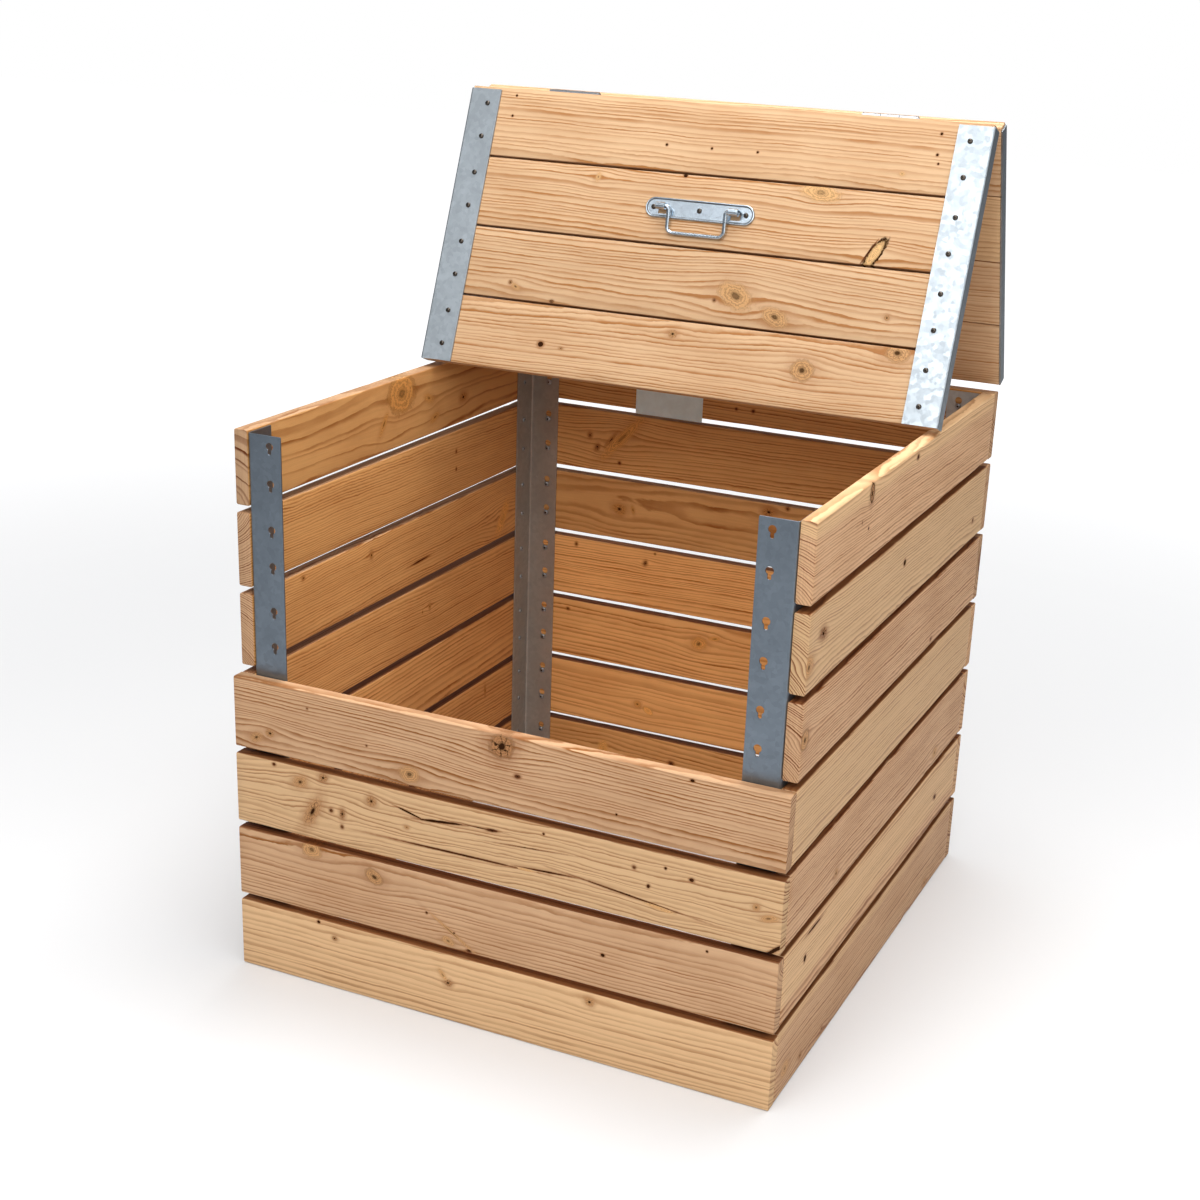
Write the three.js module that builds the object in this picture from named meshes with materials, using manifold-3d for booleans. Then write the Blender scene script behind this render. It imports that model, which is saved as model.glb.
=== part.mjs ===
// Compost bin: board walls on four angle posts, with a lid that folds in two halves.
// Millimetres, +Z up. X runs along the front and Y from the front to the rear.
// The origin is on the ground, in the middle of the whole object's box.
// The pieces are laid out with the lid shut, and nested groups then fold it to its tent.
// Each board carries the screws that are driven into it.

import * as THREE from 'three';
import { mergeVertices } from 'three/addons/utils/BufferGeometryUtils.js';
import Module from 'manifold-3d';

const wasm = await Module();
wasm.setup();

// Clearances
const seatGap = 0.3;
const overrun = 5;

// Wall boards: one section and one length all round
const boardHeight = 100;
const boardThickness = 20;
const boardLength = 785;
const boardEase = 2;
const boardGap = 10;
const wallBoardCount = 7;
const frontBoardCount = 4;

// Corner posts of folded sheet
const postFlange = 50;
const sheet = 2;
const postBend = 3;
const postInset = 3;

// Keyholes in the post's front or rear flange, and the screws that hang in them
const keyholeFromCorner = 33;
const keySlotWidth = 5;
const keyRoundDiameter = 10.4;
const keyDrop = 8.5;
const hangShank = 4;
const hangHead = 9;
const hangHeadHeight = 2.8;
const hangRunningGap = 0.4;

// Small screws through the sheet
const screwPairSpacing = 49;
const screwShank = 3.6;
const screwHead = 7.5;
const screwHeadHeight = 2.2;
const screwBite = 8;
const sideScrewFromCorner = 29;
const holeGap = 0.3;

// Lid: two halves of boards held by an angle strip at each end
const lidBoardWidth = 100;
const lidBoardThickness = 20;
const lidBoardEase = 1;
const lidBoardCount = 4;
const rearHalfSeam = 1;
const frontHalfSeam = 3;
const lidMiddleGap = 10;
const lidLift = 1;
const lidLean = THREE.MathUtils.degToRad(21.5);
const stripFlange = 50;
const stripBend = 0.9;
const stripShortfall = 4;
const stripScrewFromEdge = 31;

// Hinges: a cranked pair at the rear wall and a flat pair under the middle of the lid
const hingeFromSide = 152.5;
const hingeLength = 80;
const knuckleGap = 0.5;
const rearBarrel = 8;
const rearPin = 4.4;
const rearPinHeight = 7;
const wallLeafReach = 52;
const lidLeafReach = 46;
const middleBarrel = 12;
const middlePin = 6;
const middleLeafReach = 42;
const pinHeadLength = 1.6;
const pinHeadStep = 1.4;
const leafScrewFromEnd = 14;

// Handle: a pressed plate with two rolled lugs and a wire bail
const handleBoardFromRidge = 1;
const plateLength = 165;
const plateWidth = 29;
const plateThickness = 1.5;
const plateRim = 2.4;
const plateRimHeight = 1.4;
const plateScrewFromEnd = 12.5;
const lugFromEnd = 27.5;
const lugWidth = 14;
const lugWall = 2.2;
const lugWindow = 8.5;
const bailWire = 5.6;
const bailRunningGap = 0.3;
const bailBesideLug = 5;
const bailLeg = 36;
const bailCorner = 9;
const bailTurn = 4.5;
const bailEndInLug = 12;
const bailPivotHeight = 12;

// How finely round forms are cut
const easeSteps = 2;
const lidEaseSteps = 1;
const bendSteps = 2;
const screwSides = 6;
const keyRoundSteps = 5;
const keyEndSteps = 3;
const barrelSteps = 8;
const plateEndSteps = 6;
const wireSides = 8;
const wireBendSteps = 3;

// Sizes that follow
const pitch = boardHeight + boardGap;
const binHeight = wallBoardCount * pitch - boardGap;
const binDepth = boardLength + 2 * (boardThickness + seatGap);
const halfWidth = boardLength / 2;
const innerHalfWidth = halfWidth - boardThickness;
const postHeight = binHeight - 2 * postInset;
const rearHalfDepth = lidBoardCount * lidBoardWidth + (lidBoardCount - 1) * rearHalfSeam;
const frontHalfDepth = lidBoardCount * lidBoardWidth + (lidBoardCount - 1) * frontHalfSeam;
const lidUnder = binHeight + lidLift;
const lidTop = lidUnder + lidBoardThickness;
const foldAngle = Math.PI / 2 - lidLean;

const wood = { color: 0xcf9c68, roughness: 0.75, metalness: 0 };
const innerWood = { color: 0xbf8850, roughness: 0.8, metalness: 0 };
const lidWood = { color: 0xd9a473, roughness: 0.7, metalness: 0 };
const galvanised = { color: 0xa9b2b8, roughness: 0.45, metalness: 0.9 };
const plated = { color: 0xc4c8ca, roughness: 0.3, metalness: 0.95 };

// Points of an arc, both ends included
function arc(cx, cy, radius, from, to, steps) {
  return Array.from({ length: steps + 1 }, (_, i) => {
    const angle = from + (to - from) * i / steps;
    return new THREE.Vector2(cx + radius * Math.cos(angle), cy + radius * Math.sin(angle));
  });
}

// A rectangle from the origin's lower left, with eased corners
function easedRectangle(width, height, ease, steps) {
  const quarter = Math.PI / 2;
  const right = width - ease;
  const top = height - ease;
  return [
    ...arc(ease, ease, ease, -2 * quarter, -quarter, steps),
    ...arc(right, ease, ease, -quarter, 0, steps),
    ...arc(right, top, ease, 0, quarter, steps),
    ...arc(ease, top, ease, quarter, 2 * quarter, steps),
  ];
}

// Folded sheet: outer corner at the origin, one flange along each axis
function angleSection(flangeA, flangeB, bend) {
  const outer = bend + sheet;
  return [
    ...arc(outer, outer, outer, Math.PI, 1.5 * Math.PI, bendSteps),
    new THREE.Vector2(flangeA, 0),
    new THREE.Vector2(flangeA, sheet),
    ...arc(outer, outer, bend, 1.5 * Math.PI, Math.PI, bendSteps),
    new THREE.Vector2(sheet, flangeB),
    new THREE.Vector2(0, flangeB),
  ];
}

// A strip with round ends, centred on the origin and lying along the first axis
function stadium(length, width, steps) {
  const radius = width / 2;
  const straight = length / 2 - radius;
  return [
    ...arc(straight, 0, radius, -Math.PI / 2, Math.PI / 2, steps),
    ...arc(-straight, 0, radius, Math.PI / 2, 1.5 * Math.PI, steps),
  ];
}

// Round hole with a slot below it. The origin is where the hung shank comes to rest.
function keyhole() {
  const radius = keyRoundDiameter / 2;
  const slot = keySlotWidth / 2;
  const shoulder = Math.asin(slot / radius);
  return [
    ...arc(0, keyDrop, radius, shoulder - Math.PI / 2, 1.5 * Math.PI - shoulder, keyRoundSteps),
    ...arc(0, 0, slot, Math.PI, 2 * Math.PI, keyEndSteps),
  ];
}

function remap(points, map) {
  return points.map((p) => new THREE.Vector2(...map(p.x, p.y)));
}

// A section swept straight: along x it lies in YZ, along y in XZ, along z in XY
function prism(points, length, along, hole) {
  const shape = new THREE.Shape(points);
  if (hole) shape.holes.push(new THREE.Path(hole));
  const geometry = new THREE.ExtrudeGeometry(shape, { depth: length, bevelEnabled: false });
  const [x, y, z] = [[1, 0, 0], [0, 1, 0], [0, 0, 1]].map((v) => new THREE.Vector3(...v));
  const turn = new THREE.Matrix4();
  if (along === 'x') geometry.applyMatrix4(turn.makeBasis(y, z, x));
  if (along === 'y') {
    geometry.applyMatrix4(turn.makeBasis(x, z, y.clone().negate()));
    geometry.translate(0, length, 0);
  }
  return geometry;
}

// Positions alone, with shared corners merged and collapsed triangles dropped
function bare(geometry) {
  const copy = geometry.clone();
  copy.deleteAttribute('normal');
  copy.deleteAttribute('uv');
  const merged = mergeVertices(copy);
  const corners = Array.from(merged.index.array);
  const kept = [];
  for (let i = 0; i < corners.length; i += 3) {
    const [a, b, c] = corners.slice(i, i + 3);
    if (a !== b && b !== c && c !== a) kept.push(a, b, c);
  }
  merged.setIndex(kept);
  return merged;
}

function solidOf(geometry) {
  const merged = bare(geometry);
  const mesh = new wasm.Mesh({
    numProp: 3,
    vertProperties: new Float32Array(merged.attributes.position.array),
    triVerts: new Uint32Array(merged.index.array),
  });
  return new wasm.Manifold(mesh);
}

function geometryOf(solid) {
  const mesh = solid.getMesh();
  const geometry = new THREE.BufferGeometry();
  geometry.setAttribute('position', new THREE.BufferAttribute(mesh.vertProperties, 3));
  geometry.setIndex(new THREE.BufferAttribute(mesh.triVerts, 1));
  return geometry;
}

function cut(geometry, tools) {
  return geometryOf(tools.reduce((solid, tool) => solid.subtract(solidOf(tool)), solidOf(geometry)));
}

function join(geometries) {
  const [first, ...others] = geometries.map(solidOf);
  return geometryOf(others.reduce((solid, other) => solid.add(other), first));
}

// A rod centred on the origin, lying along one axis
function rod(radius, length, sides, along) {
  const geometry = new THREE.CylinderGeometry(radius, radius, length, sides);
  if (along === 'x') geometry.rotateZ(Math.PI / 2);
  if (along === 'z') geometry.rotateX(Math.PI / 2);
  return geometry;
}

const facing = {
  '+x': new THREE.Matrix4().makeRotationY(Math.PI / 2),
  '-x': new THREE.Matrix4().makeRotationY(-Math.PI / 2),
  '+y': new THREE.Matrix4().makeRotationX(-Math.PI / 2),
  '-y': new THREE.Matrix4().makeRotationX(Math.PI / 2),
  '+z': new THREE.Matrix4(),
  '-z': new THREE.Matrix4().makeRotationX(Math.PI),
};

// A screw whose head sits on the given point and looks the given way
function screw(at, face, shank, head, headHeight, standOff) {
  const profile = [
    [0, -standOff - screwBite],
    [shank / 2, -standOff - screwBite],
    [shank / 2, 0],
    [head / 2, 0],
    [0, headHeight],
  ].map(([r, y]) => new THREE.Vector2(r, y));
  const geometry = bare(new THREE.LatheGeometry(profile, screwSides)).rotateX(Math.PI / 2);
  return geometry.applyMatrix4(facing[face]).translate(...at);
}

// A screw that hangs in a keyhole, its head standing off the board by the sheet's room
function hangScrew(at, face) {
  return screw(at, face, hangShank, hangHead, hangHeadHeight, hangStandOff);
}

// A screw that holds metal to a board, its head just off the metal
function sheetScrew(at, face, metal = sheet) {
  return screw(at, face, screwShank, screwHead, screwHeadHeight, 2 * seatGap + metal);
}

function sheetHole(at, face) {
  const hole = rod(screwShank / 2 + holeGap, 2 * overrun, screwSides, 'z');
  return hole.applyMatrix4(facing[face]).translate(...at);
}

function piece(name, geometry, finish, parent, position = [0, 0, 0]) {
  const mesh = new THREE.Mesh(geometry, new THREE.MeshStandardMaterial(finish));
  mesh.name = name;
  mesh.position.set(...position);
  parent.add(mesh);
  return mesh;
}

// Everything added to the layout turns by the angle about a pin that lies along X
function turned(parent, pinY, pinZ, angle) {
  const turn = new THREE.Group();
  turn.position.set(0, pinY, pinZ);
  turn.rotation.x = angle;
  const layout = new THREE.Group();
  layout.position.set(0, -pinY, -pinZ);
  turn.add(layout);
  parent.add(turn);
  return layout;
}

const bin = new THREE.Group();
const sides = { left: -1, right: 1 };
const screwPair = [-screwPairSpacing / 2, screwPairSpacing / 2];
const boardBottoms = Array.from({ length: wallBoardCount }, (_, i) => i * pitch);
const inward = { left: '+x', right: '-x' };

// Corner posts. Each hand serves two opposite corners, turned half round.
const postFace = innerHalfWidth - seatGap;
const postFrontY = boardThickness + hangRunningGap;
const postRearY = binDepth - postFrontY;
const keyholeX = postFace - keyholeFromCorner;
const screwHeights = screwPair.map((step) => boardHeight / 2 + step);

function cornerPost(hand) {
  const section = angleSection(postFlange, postFlange, postBend);
  const body = prism(remap(section, (x, y) => [hand * x, y]), postHeight, 'z');
  const keyOutline = remap(keyhole(), (x, z) => [hand * keyholeFromCorner + x, z]);
  const heights = boardBottoms.flatMap((z) => screwHeights.map((height) => z + height - postInset));
  const tools = heights.flatMap((z) => [
    prism(keyOutline, 2 * overrun, 'y').translate(0, -overrun, z),
    sheetHole([0, sideScrewFromCorner, z], '+x'),
  ]);
  return cut(body, tools);
}

for (const [side, sign] of Object.entries(sides)) {
  const x = sign * postFace;
  const front = piece(`corner_post_front_${side}`, cornerPost(-sign), galvanised, bin);
  front.position.set(x, postFrontY, postInset);
  const rear = piece(`corner_post_rear_${side}`, cornerPost(sign), galvanised, bin);
  rear.position.set(x, postRearY, postInset);
  rear.rotation.z = Math.PI;
}

// Side boards run from front to rear, screwed to the posts' side flanges
const sideSection = easedRectangle(boardThickness, boardHeight, boardEase, easeSteps);
const sideScrewYs = [postFrontY + sideScrewFromCorner, postRearY - sideScrewFromCorner];

function sideBoard(side, sign) {
  const board = prism(sideSection, boardLength, 'y');
  const innerX = sign * innerHalfWidth;
  board.translate(innerX + (sign - 1) / 2 * boardThickness, boardThickness + seatGap, 0);
  const headX = innerX - sign * (2 * seatGap + sheet);
  const screws = sideScrewYs.flatMap((y) => screwHeights.map(
    (z) => sheetScrew([headX, y, z], inward[side]),
  ));
  return join([board, ...screws]);
}

for (const [side, sign] of Object.entries(sides)) {
  boardBottoms.forEach((z, i) => {
    piece(`side_board_${side}_${i + 1}`, sideBoard(side, sign), wood, bin, [0, 0, z]);
  });
}

// Front and rear boards cover the side boards' ends, and hang by their screws in the
// posts' keyholes. Every front board lifts by the slot's length and comes off.
const hangStandOff = 2 * hangRunningGap + sheet;

function hungBoard(face, otherScrews = []) {
  const board = prism(sideSection, boardLength, 'x').translate(-halfWidth, 0, 0);
  const headY = face === '+y' ? boardThickness + hangStandOff : -hangStandOff;
  const screws = [-keyholeX, keyholeX].flatMap((x) => screwHeights.map(
    (z) => hangScrew([x, headY, z], face),
  ));
  return join([board, ...screws, ...otherScrews]);
}

boardBottoms.slice(0, frontBoardCount).forEach((z, i) => {
  piece(`front_board_${i + 1}`, hungBoard('+y'), wood, bin, [0, 0, z]);
});

// The lid's pins. The rear pin stands behind the wall, the middle pin under the boards.
const rearPinY = binDepth + seatGap + rearBarrel / 2;
const rearPinZ = lidUnder + rearPinHeight;
const middlePinY = binDepth - rearHalfDepth - lidMiddleGap / 2;
const middlePinZ = lidUnder - seatGap - middleBarrel / 2;
const rearHalf = turned(bin, rearPinY, rearPinZ, -foldAngle);
const frontHalf = turned(rearHalf, middlePinY, middlePinZ, 2 * foldAngle);
const hingeX = halfWidth - hingeFromSide;
const hinges = { left: -hingeX, right: hingeX };
const hingeXs = Object.values(hinges);

// Where the leaves' screws stand
const leafScrewSpan = hingeLength / 2 - leafScrewFromEnd;
const leafScrewXs = [-leafScrewSpan, leafScrewSpan];
const wallScrewDrop = (wallLeafReach + rearBarrel / 2) / 2;
const crankScrewRun = lidLeafReach / 2;
const middleScrewRun = (middleLeafReach + middleBarrel / 2) / 2;
const rearLeafFace = binDepth + seatGap;
const lidHeadZ = lidTop + 2 * seatGap + sheet;
const underHeadZ = lidUnder - 2 * seatGap - sheet;

function leafScrews(y, z, face) {
  return hingeXs.flatMap((x) => leafScrewXs.map((dx) => sheetScrew([x + dx, y, z], face)));
}

const wallLeafY = boardThickness + 2 * seatGap + sheet;
const wallLeafZ = rearPinZ - wallScrewDrop - (wallBoardCount - 1) * pitch;
const wallScrews = leafScrews(wallLeafY, wallLeafZ, '+y');
boardBottoms.forEach((z, i) => {
  const isTop = i === wallBoardCount - 1;
  const board = hungBoard('-y', isTop ? wallScrews : []);
  piece(`rear_board_${i + 1}`, board, innerWood, bin, [0, binDepth - boardThickness, z]);
});

// One half of the lid: boards along X, held by an angle strip over their ends. The
// strips stop short of the wood at the ridge, where the two halves meet.
function lidHalf(name, layout, startY, seam, ridgeAtStart, otherScrews) {
  const section = easedRectangle(lidBoardWidth, lidBoardThickness, lidBoardEase, lidEaseSteps);
  const step = lidBoardWidth + seam;
  const depth = lidBoardCount * step - seam;
  const edgeX = halfWidth + seatGap + sheet;
  const screwX = edgeX - stripScrewFromEdge;
  const offsets = screwPair.map((offset) => lidBoardWidth / 2 + offset);
  const boardYs = Array.from({ length: lidBoardCount }, (_, i) => startY + i * step);
  boardYs.forEach((y, i) => {
    const board = prism(section, boardLength, 'x').translate(-halfWidth, y, lidUnder);
    const screws = [-screwX, screwX].flatMap((x) => offsets.map(
      (offset) => sheetScrew([x, y + offset, lidHeadZ], '+z'),
    ));
    const geometry = join([board, ...screws, ...(otherScrews[i] ?? [])]);
    const position = [0, y, lidUnder];
    piece(`lid_${name}_board_${i + 1}`, geometry.translate(0, -y, -lidUnder), lidWood, layout, position);
  });
  const stripY = ridgeAtStart ? startY + stripShortfall : startY;
  const stripTop = lidTop + seatGap + sheet;
  const holeYs = boardYs.flatMap((y) => offsets.map((offset) => y + offset - stripY));
  for (const [side, sign] of Object.entries(sides)) {
    const angle = angleSection(stripFlange, stripTop - lidUnder, stripBend);
    const outline = remap(angle, (x, z) => [-sign * x, -z]);
    const blank = prism(outline, depth - stripShortfall, 'y');
    const holes = holeYs.map((y) => sheetHole([-sign * stripScrewFromEdge, y, 0], '+z'));
    const position = [sign * edgeX, stripY, stripTop];
    piece(`lid_${name}_strip_${side}`, cut(blank, holes), galvanised, layout, position);
  }
}

// The handle stands on a board of the front half, and its screws with it
const rearStart = binDepth - rearHalfDepth;
const frontStart = rearStart - lidMiddleGap - frontHalfDepth;
const handleStep = lidBoardWidth + frontHalfSeam;
const handleIndex = lidBoardCount - 1 - handleBoardFromRidge;
const handleY = frontStart + handleIndex * handleStep + lidBoardWidth / 2;
const plateHeadZ = lidTop + 2 * seatGap + plateThickness;
const plateScrewX = plateLength / 2 - plateScrewFromEnd;
const plateScrewXs = [-plateScrewX, 0, plateScrewX];
const plateScrews = plateScrewXs.map(
  (x) => sheetScrew([x, handleY, plateHeadZ], '+z', plateThickness),
);

const last = lidBoardCount - 1;
const crankScrews = leafScrews(rearLeafFace - crankScrewRun, lidHeadZ, '+z');
const rearUnder = leafScrews(middlePinY + middleScrewRun, underHeadZ, '-z');
const frontUnder = leafScrews(middlePinY - middleScrewRun, underHeadZ, '-z');
lidHalf('rear', rearHalf, rearStart, rearHalfSeam, true, { 0: rearUnder, [last]: crankScrews });
const frontScrews = { [handleIndex]: plateScrews, [last]: frontUnder };
lidHalf('front', frontHalf, frontStart, frontHalfSeam, false, frontScrews);

// One knuckle of a hinge with the root of its leaf. The pin is at the origin, and the
// leaf leaves along the first axis, flush with the barrel's top.
function knuckleOutline(barrel, rootReach) {
  const radius = barrel / 2;
  const meet = Math.asin((radius - sheet) / radius);
  return [
    new THREE.Vector2(rootReach, radius),
    new THREE.Vector2(rootReach, radius - sheet),
    ...arc(0, 0, radius, meet, -1.5 * Math.PI, barrelSteps),
  ];
}

// A leaf made of a flat or cranked plate and some of the hinge's three knuckles
function hingeLeaf({ barrel, pin, plate, turn, knuckles }) {
  const third = (hingeLength - 2 * seatGap) / 3;
  const rootReach = barrel / 2 + knuckleGap + sheet;
  const outline = remap(knuckleOutline(barrel, rootReach), turn);
  const boreRadius = pin / 2 + seatGap;
  const bore = arc(0, 0, boreRadius, 0, 2 * Math.PI, barrelSteps).slice(0, barrelSteps);
  const rings = knuckles.map((k) => {
    const length = third - knuckleGap;
    const start = (k - 1.5) * third + knuckleGap / 2;
    return prism(outline, length, 'x', bore).translate(start, 0, 0);
  });
  const leafLength = 3 * third - knuckleGap;
  const leaf = prism(plate, leafLength, 'x').translate(-leafLength / 2, 0, 0);
  return join([leaf, ...rings]);
}

// A flat leaf that starts clear of the other leaf's knuckles
function flatPlate(barrel, reach, turn) {
  const start = barrel / 2 + knuckleGap;
  const top = barrel / 2;
  return remap([
    new THREE.Vector2(start, top - sheet),
    new THREE.Vector2(reach, top - sheet),
    new THREE.Vector2(reach, top),
    new THREE.Vector2(start, top),
  ], turn);
}

// Rear hinges: one leaf on the wall's outer face, the other cranked over the lid's edge
const down = (u, v) => [-v, -u];
const up = (u, v) => [-v, u];
const crankTop = lidTop + seatGap + sheet - rearPinZ;
const crankBottom = rearBarrel / 2 + knuckleGap;
const leafOuter = sheet - rearBarrel / 2;

function wallLeaf() {
  const plate = flatPlate(rearBarrel, wallLeafReach, down);
  const blank = hingeLeaf({ barrel: rearBarrel, pin: rearPin, plate, turn: down, knuckles: [0, 2] });
  return cut(blank, leafScrewXs.map((x) => sheetHole([x, leafOuter, -wallScrewDrop], '+y')));
}

function crankedLeaf() {
  const section = angleSection(lidLeafReach, crankTop - crankBottom, stripBend);
  const plate = remap(section, (y, z) => [leafOuter - y, crankTop - z]);
  const blank = hingeLeaf({ barrel: rearBarrel, pin: rearPin, plate, turn: up, knuckles: [1] });
  const screwY = -rearBarrel / 2 - crankScrewRun;
  return cut(blank, leafScrewXs.map((x) => sheetHole([x, screwY, crankTop], '+z')));
}

// Middle hinges: both leaves flat on the underside, one on each half
function middleLeaf(sign, knuckles) {
  const turn = (u, v) => [sign * u, v];
  const plate = flatPlate(middleBarrel, middleLeafReach, turn);
  const blank = hingeLeaf({ barrel: middleBarrel, pin: middlePin, plate, turn, knuckles });
  const holes = leafScrewXs.map((x) => sheetHole([x, sign * middleScrewRun, middleBarrel / 2], '-z'));
  return cut(blank, holes);
}

// A pin with a flat head at each end of the knuckles
function hingePin(diameter) {
  const half = hingeLength / 2;
  const end = half + pinHeadLength;
  const head = diameter / 2 + pinHeadStep;
  const profile = [
    [0, -end],
    [head, -end],
    [head, -half],
    [diameter / 2, -half],
    [diameter / 2, half],
    [head, half],
    [head, end],
    [0, end],
  ].map(([r, y]) => new THREE.Vector2(r, y));
  return bare(new THREE.LatheGeometry(profile, barrelSteps)).rotateZ(Math.PI / 2);
}

for (const [side, x] of Object.entries(hinges)) {
  const rear = `rear_hinge_${side}`;
  const middle = `middle_hinge_${side}`;
  const rearAt = [x, rearPinY, rearPinZ];
  const middleAt = [x, middlePinY, middlePinZ];
  piece(`${rear}_wall_leaf`, wallLeaf(), plated, bin, rearAt);
  piece(`${rear}_lid_leaf`, crankedLeaf(), plated, rearHalf, rearAt);
  piece(`${rear}_pin`, hingePin(rearPin), plated, bin, rearAt);
  piece(`${middle}_rear_leaf`, middleLeaf(1, [1]), plated, rearHalf, middleAt);
  piece(`${middle}_front_leaf`, middleLeaf(-1, [0, 2]), plated, frontHalf, middleAt);
  piece(`${middle}_pin`, hingePin(middlePin), plated, rearHalf, middleAt);
}

// Handle: a plate with a raised rim and two lugs. Each lug is a tongue punched from the
// plate and rolled over the wire, so a window stays open below it.
const lugX = plateLength / 2 - lugFromEnd;
const lugXs = [-lugX, lugX];
const lugBore = bailWire / 2 + bailRunningGap;
const lugRadius = lugBore + lugWall;
const pivotAbovePlate = bailPivotHeight - seatGap;

function handlePlate() {
  const outer = stadium(plateLength, plateWidth, plateEndSteps);
  const inner = stadium(plateLength - 2 * plateRim, plateWidth - 2 * plateRim, plateEndSteps);
  const windows = lugXs.map((x) => {
    const window = new THREE.BoxGeometry(lugWidth, lugWindow, 2 * overrun);
    return window.translate(x, -lugWindow / 2, 0);
  });
  const base = cut(prism(outer, plateThickness, 'z'), windows);
  const rim = prism(outer, plateThickness + plateRimHeight, 'z', inner);
  const lugs = lugXs.flatMap((x) => {
    const roll = rod(lugRadius, lugWidth, barrelSteps, 'x').translate(x, 0, pivotAbovePlate);
    const web = new THREE.BoxGeometry(lugWidth, lugRadius, pivotAbovePlate);
    return [roll, web.translate(x, lugRadius / 2, pivotAbovePlate / 2)];
  });
  const bores = lugXs.map((x) => {
    const bore = rod(lugBore, lugWidth + overrun, barrelSteps, 'x');
    return bore.translate(x, 0, pivotAbovePlate);
  });
  const holes = plateScrewXs.map((x) => sheetHole([x, 0, 0], '+z'));
  return cut(join([base, rim, ...lugs]), [...bores, ...holes]);
}

piece('handle_plate', handlePlate(), plated, frontHalf, [0, handleY, lidTop + seatGap]);

// Wire bail: its ends turn outward into the lugs. It lies against the board, at the
// angle where the bar's wire meets the wood.
const lugInnerX = lugX - lugWidth / 2;
const bailEndX = lugInnerX + bailEndInLug;
const bailHalfSpan = lugInnerX - bailBesideLug;
const bailTilt = Math.asin((bailPivotHeight - bailWire / 2 - seatGap) / bailLeg);

function bailPath() {
  const half = [
    new THREE.Vector3(bailEndX, 0, 0),
    ...arc(bailHalfSpan + bailTurn, -bailTurn, bailTurn, Math.PI / 2, Math.PI, wireBendSteps),
    ...arc(
      bailHalfSpan - bailCorner,
      bailCorner - bailLeg,
      bailCorner,
      0,
      -Math.PI / 2,
      wireBendSteps,
    ),
  ].map((p) => new THREE.Vector3(p.x, p.y, 0));
  const otherHalf = half.map((p) => new THREE.Vector3(-p.x, p.y, 0)).reverse();
  const path = new THREE.CurvePath();
  const points = [...half, ...otherHalf];
  points.slice(1).forEach((p, i) => path.add(new THREE.LineCurve3(points[i], p)));
  return { path, count: points.length - 1 };
}

// The wire's rings stand square to the path at its corners, so that it keeps its width
function bailWireSolid() {
  const { path, count } = bailPath();
  const corners = path.curves.map((line) => line.v1).concat(path.curves[count - 1].v2);
  const rings = corners.map((corner, i) => {
    const before = i > 0 ? corner.clone().sub(corners[i - 1]).normalize() : new THREE.Vector3();
    const after = i < count ? corners[i + 1].clone().sub(corner).normalize() : new THREE.Vector3();
    const along = before.add(after).normalize();
    const across = new THREE.Vector3(0, 0, 1).cross(along);
    return Array.from({ length: wireSides }, (_, k) => {
      const angle = 2 * Math.PI * k / wireSides;
      const offset = across.clone().multiplyScalar(bailWire / 2 * Math.cos(angle));
      offset.z += bailWire / 2 * Math.sin(angle);
      return corner.clone().add(offset);
    });
  });
  const positions = rings.flat().flatMap((p) => [p.x, p.y, p.z]);
  const index = [];
  for (let i = 0; i < count; i += 1) {
    for (let k = 0; k < wireSides; k += 1) {
      const next = (k + 1) % wireSides;
      const [a, b] = [i * wireSides + k, i * wireSides + next];
      const [c, d] = [a + wireSides, b + wireSides];
      index.push(a, b, d, a, d, c);
    }
  }
  for (let k = 1; k < wireSides - 1; k += 1) {
    const last = count * wireSides;
    index.push(0, k + 1, k);
    index.push(last, last + k, last + k + 1);
  }
  const geometry = new THREE.BufferGeometry();
  geometry.setAttribute('position', new THREE.Float32BufferAttribute(positions, 3));
  geometry.setIndex(index);
  return geometry;
}

const bailPinZ = lidTop + bailPivotHeight;
const bailLayout = turned(frontHalf, handleY, bailPinZ, bailTilt);
piece('handle_bail', bailWireSolid(), plated, bailLayout, [0, handleY, bailPinZ]);

// The origin goes to the ground under the middle of the box
bin.updateMatrixWorld(true);
const box = new THREE.Box3().setFromObject(bin, true);
const middle = box.getCenter(new THREE.Vector3());
bin.position.set(-middle.x, -middle.y, -box.min.z);

export default bin;
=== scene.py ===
"""Compost bin with lid: boards, galvanised posts and fittings built around the bin's frame.

Metres, +Z up. X runs along the front, Y from the front to the rear, and the origin is on
the ground in the middle of the bin. Lid pieces are laid out with the lid shut, and each
half is then folded to the tent that it rests in.
"""

import math
import random

import bmesh
import bpy
from bpy.props import FloatProperty, FloatVectorProperty, IntProperty, PointerProperty
from mathutils import Matrix, Vector, noise


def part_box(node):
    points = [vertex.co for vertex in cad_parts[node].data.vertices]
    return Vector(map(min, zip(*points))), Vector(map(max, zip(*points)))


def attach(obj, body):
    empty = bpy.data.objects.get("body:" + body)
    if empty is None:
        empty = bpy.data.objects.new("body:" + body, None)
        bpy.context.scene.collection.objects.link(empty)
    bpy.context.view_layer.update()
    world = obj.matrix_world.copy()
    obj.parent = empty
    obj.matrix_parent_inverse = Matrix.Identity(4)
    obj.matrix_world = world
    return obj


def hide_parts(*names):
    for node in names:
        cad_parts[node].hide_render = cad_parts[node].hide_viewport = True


bl_info = {
    "name": "Compost bin with lid",
    "version": (1, 0, 0),
    "blender": (4, 5, 0),
    "location": "3D View > Sidebar > Compost bin",
    "description": "Builds the boards, posts, lid and fittings of a compost bin",
    "category": "Object",
}

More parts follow.
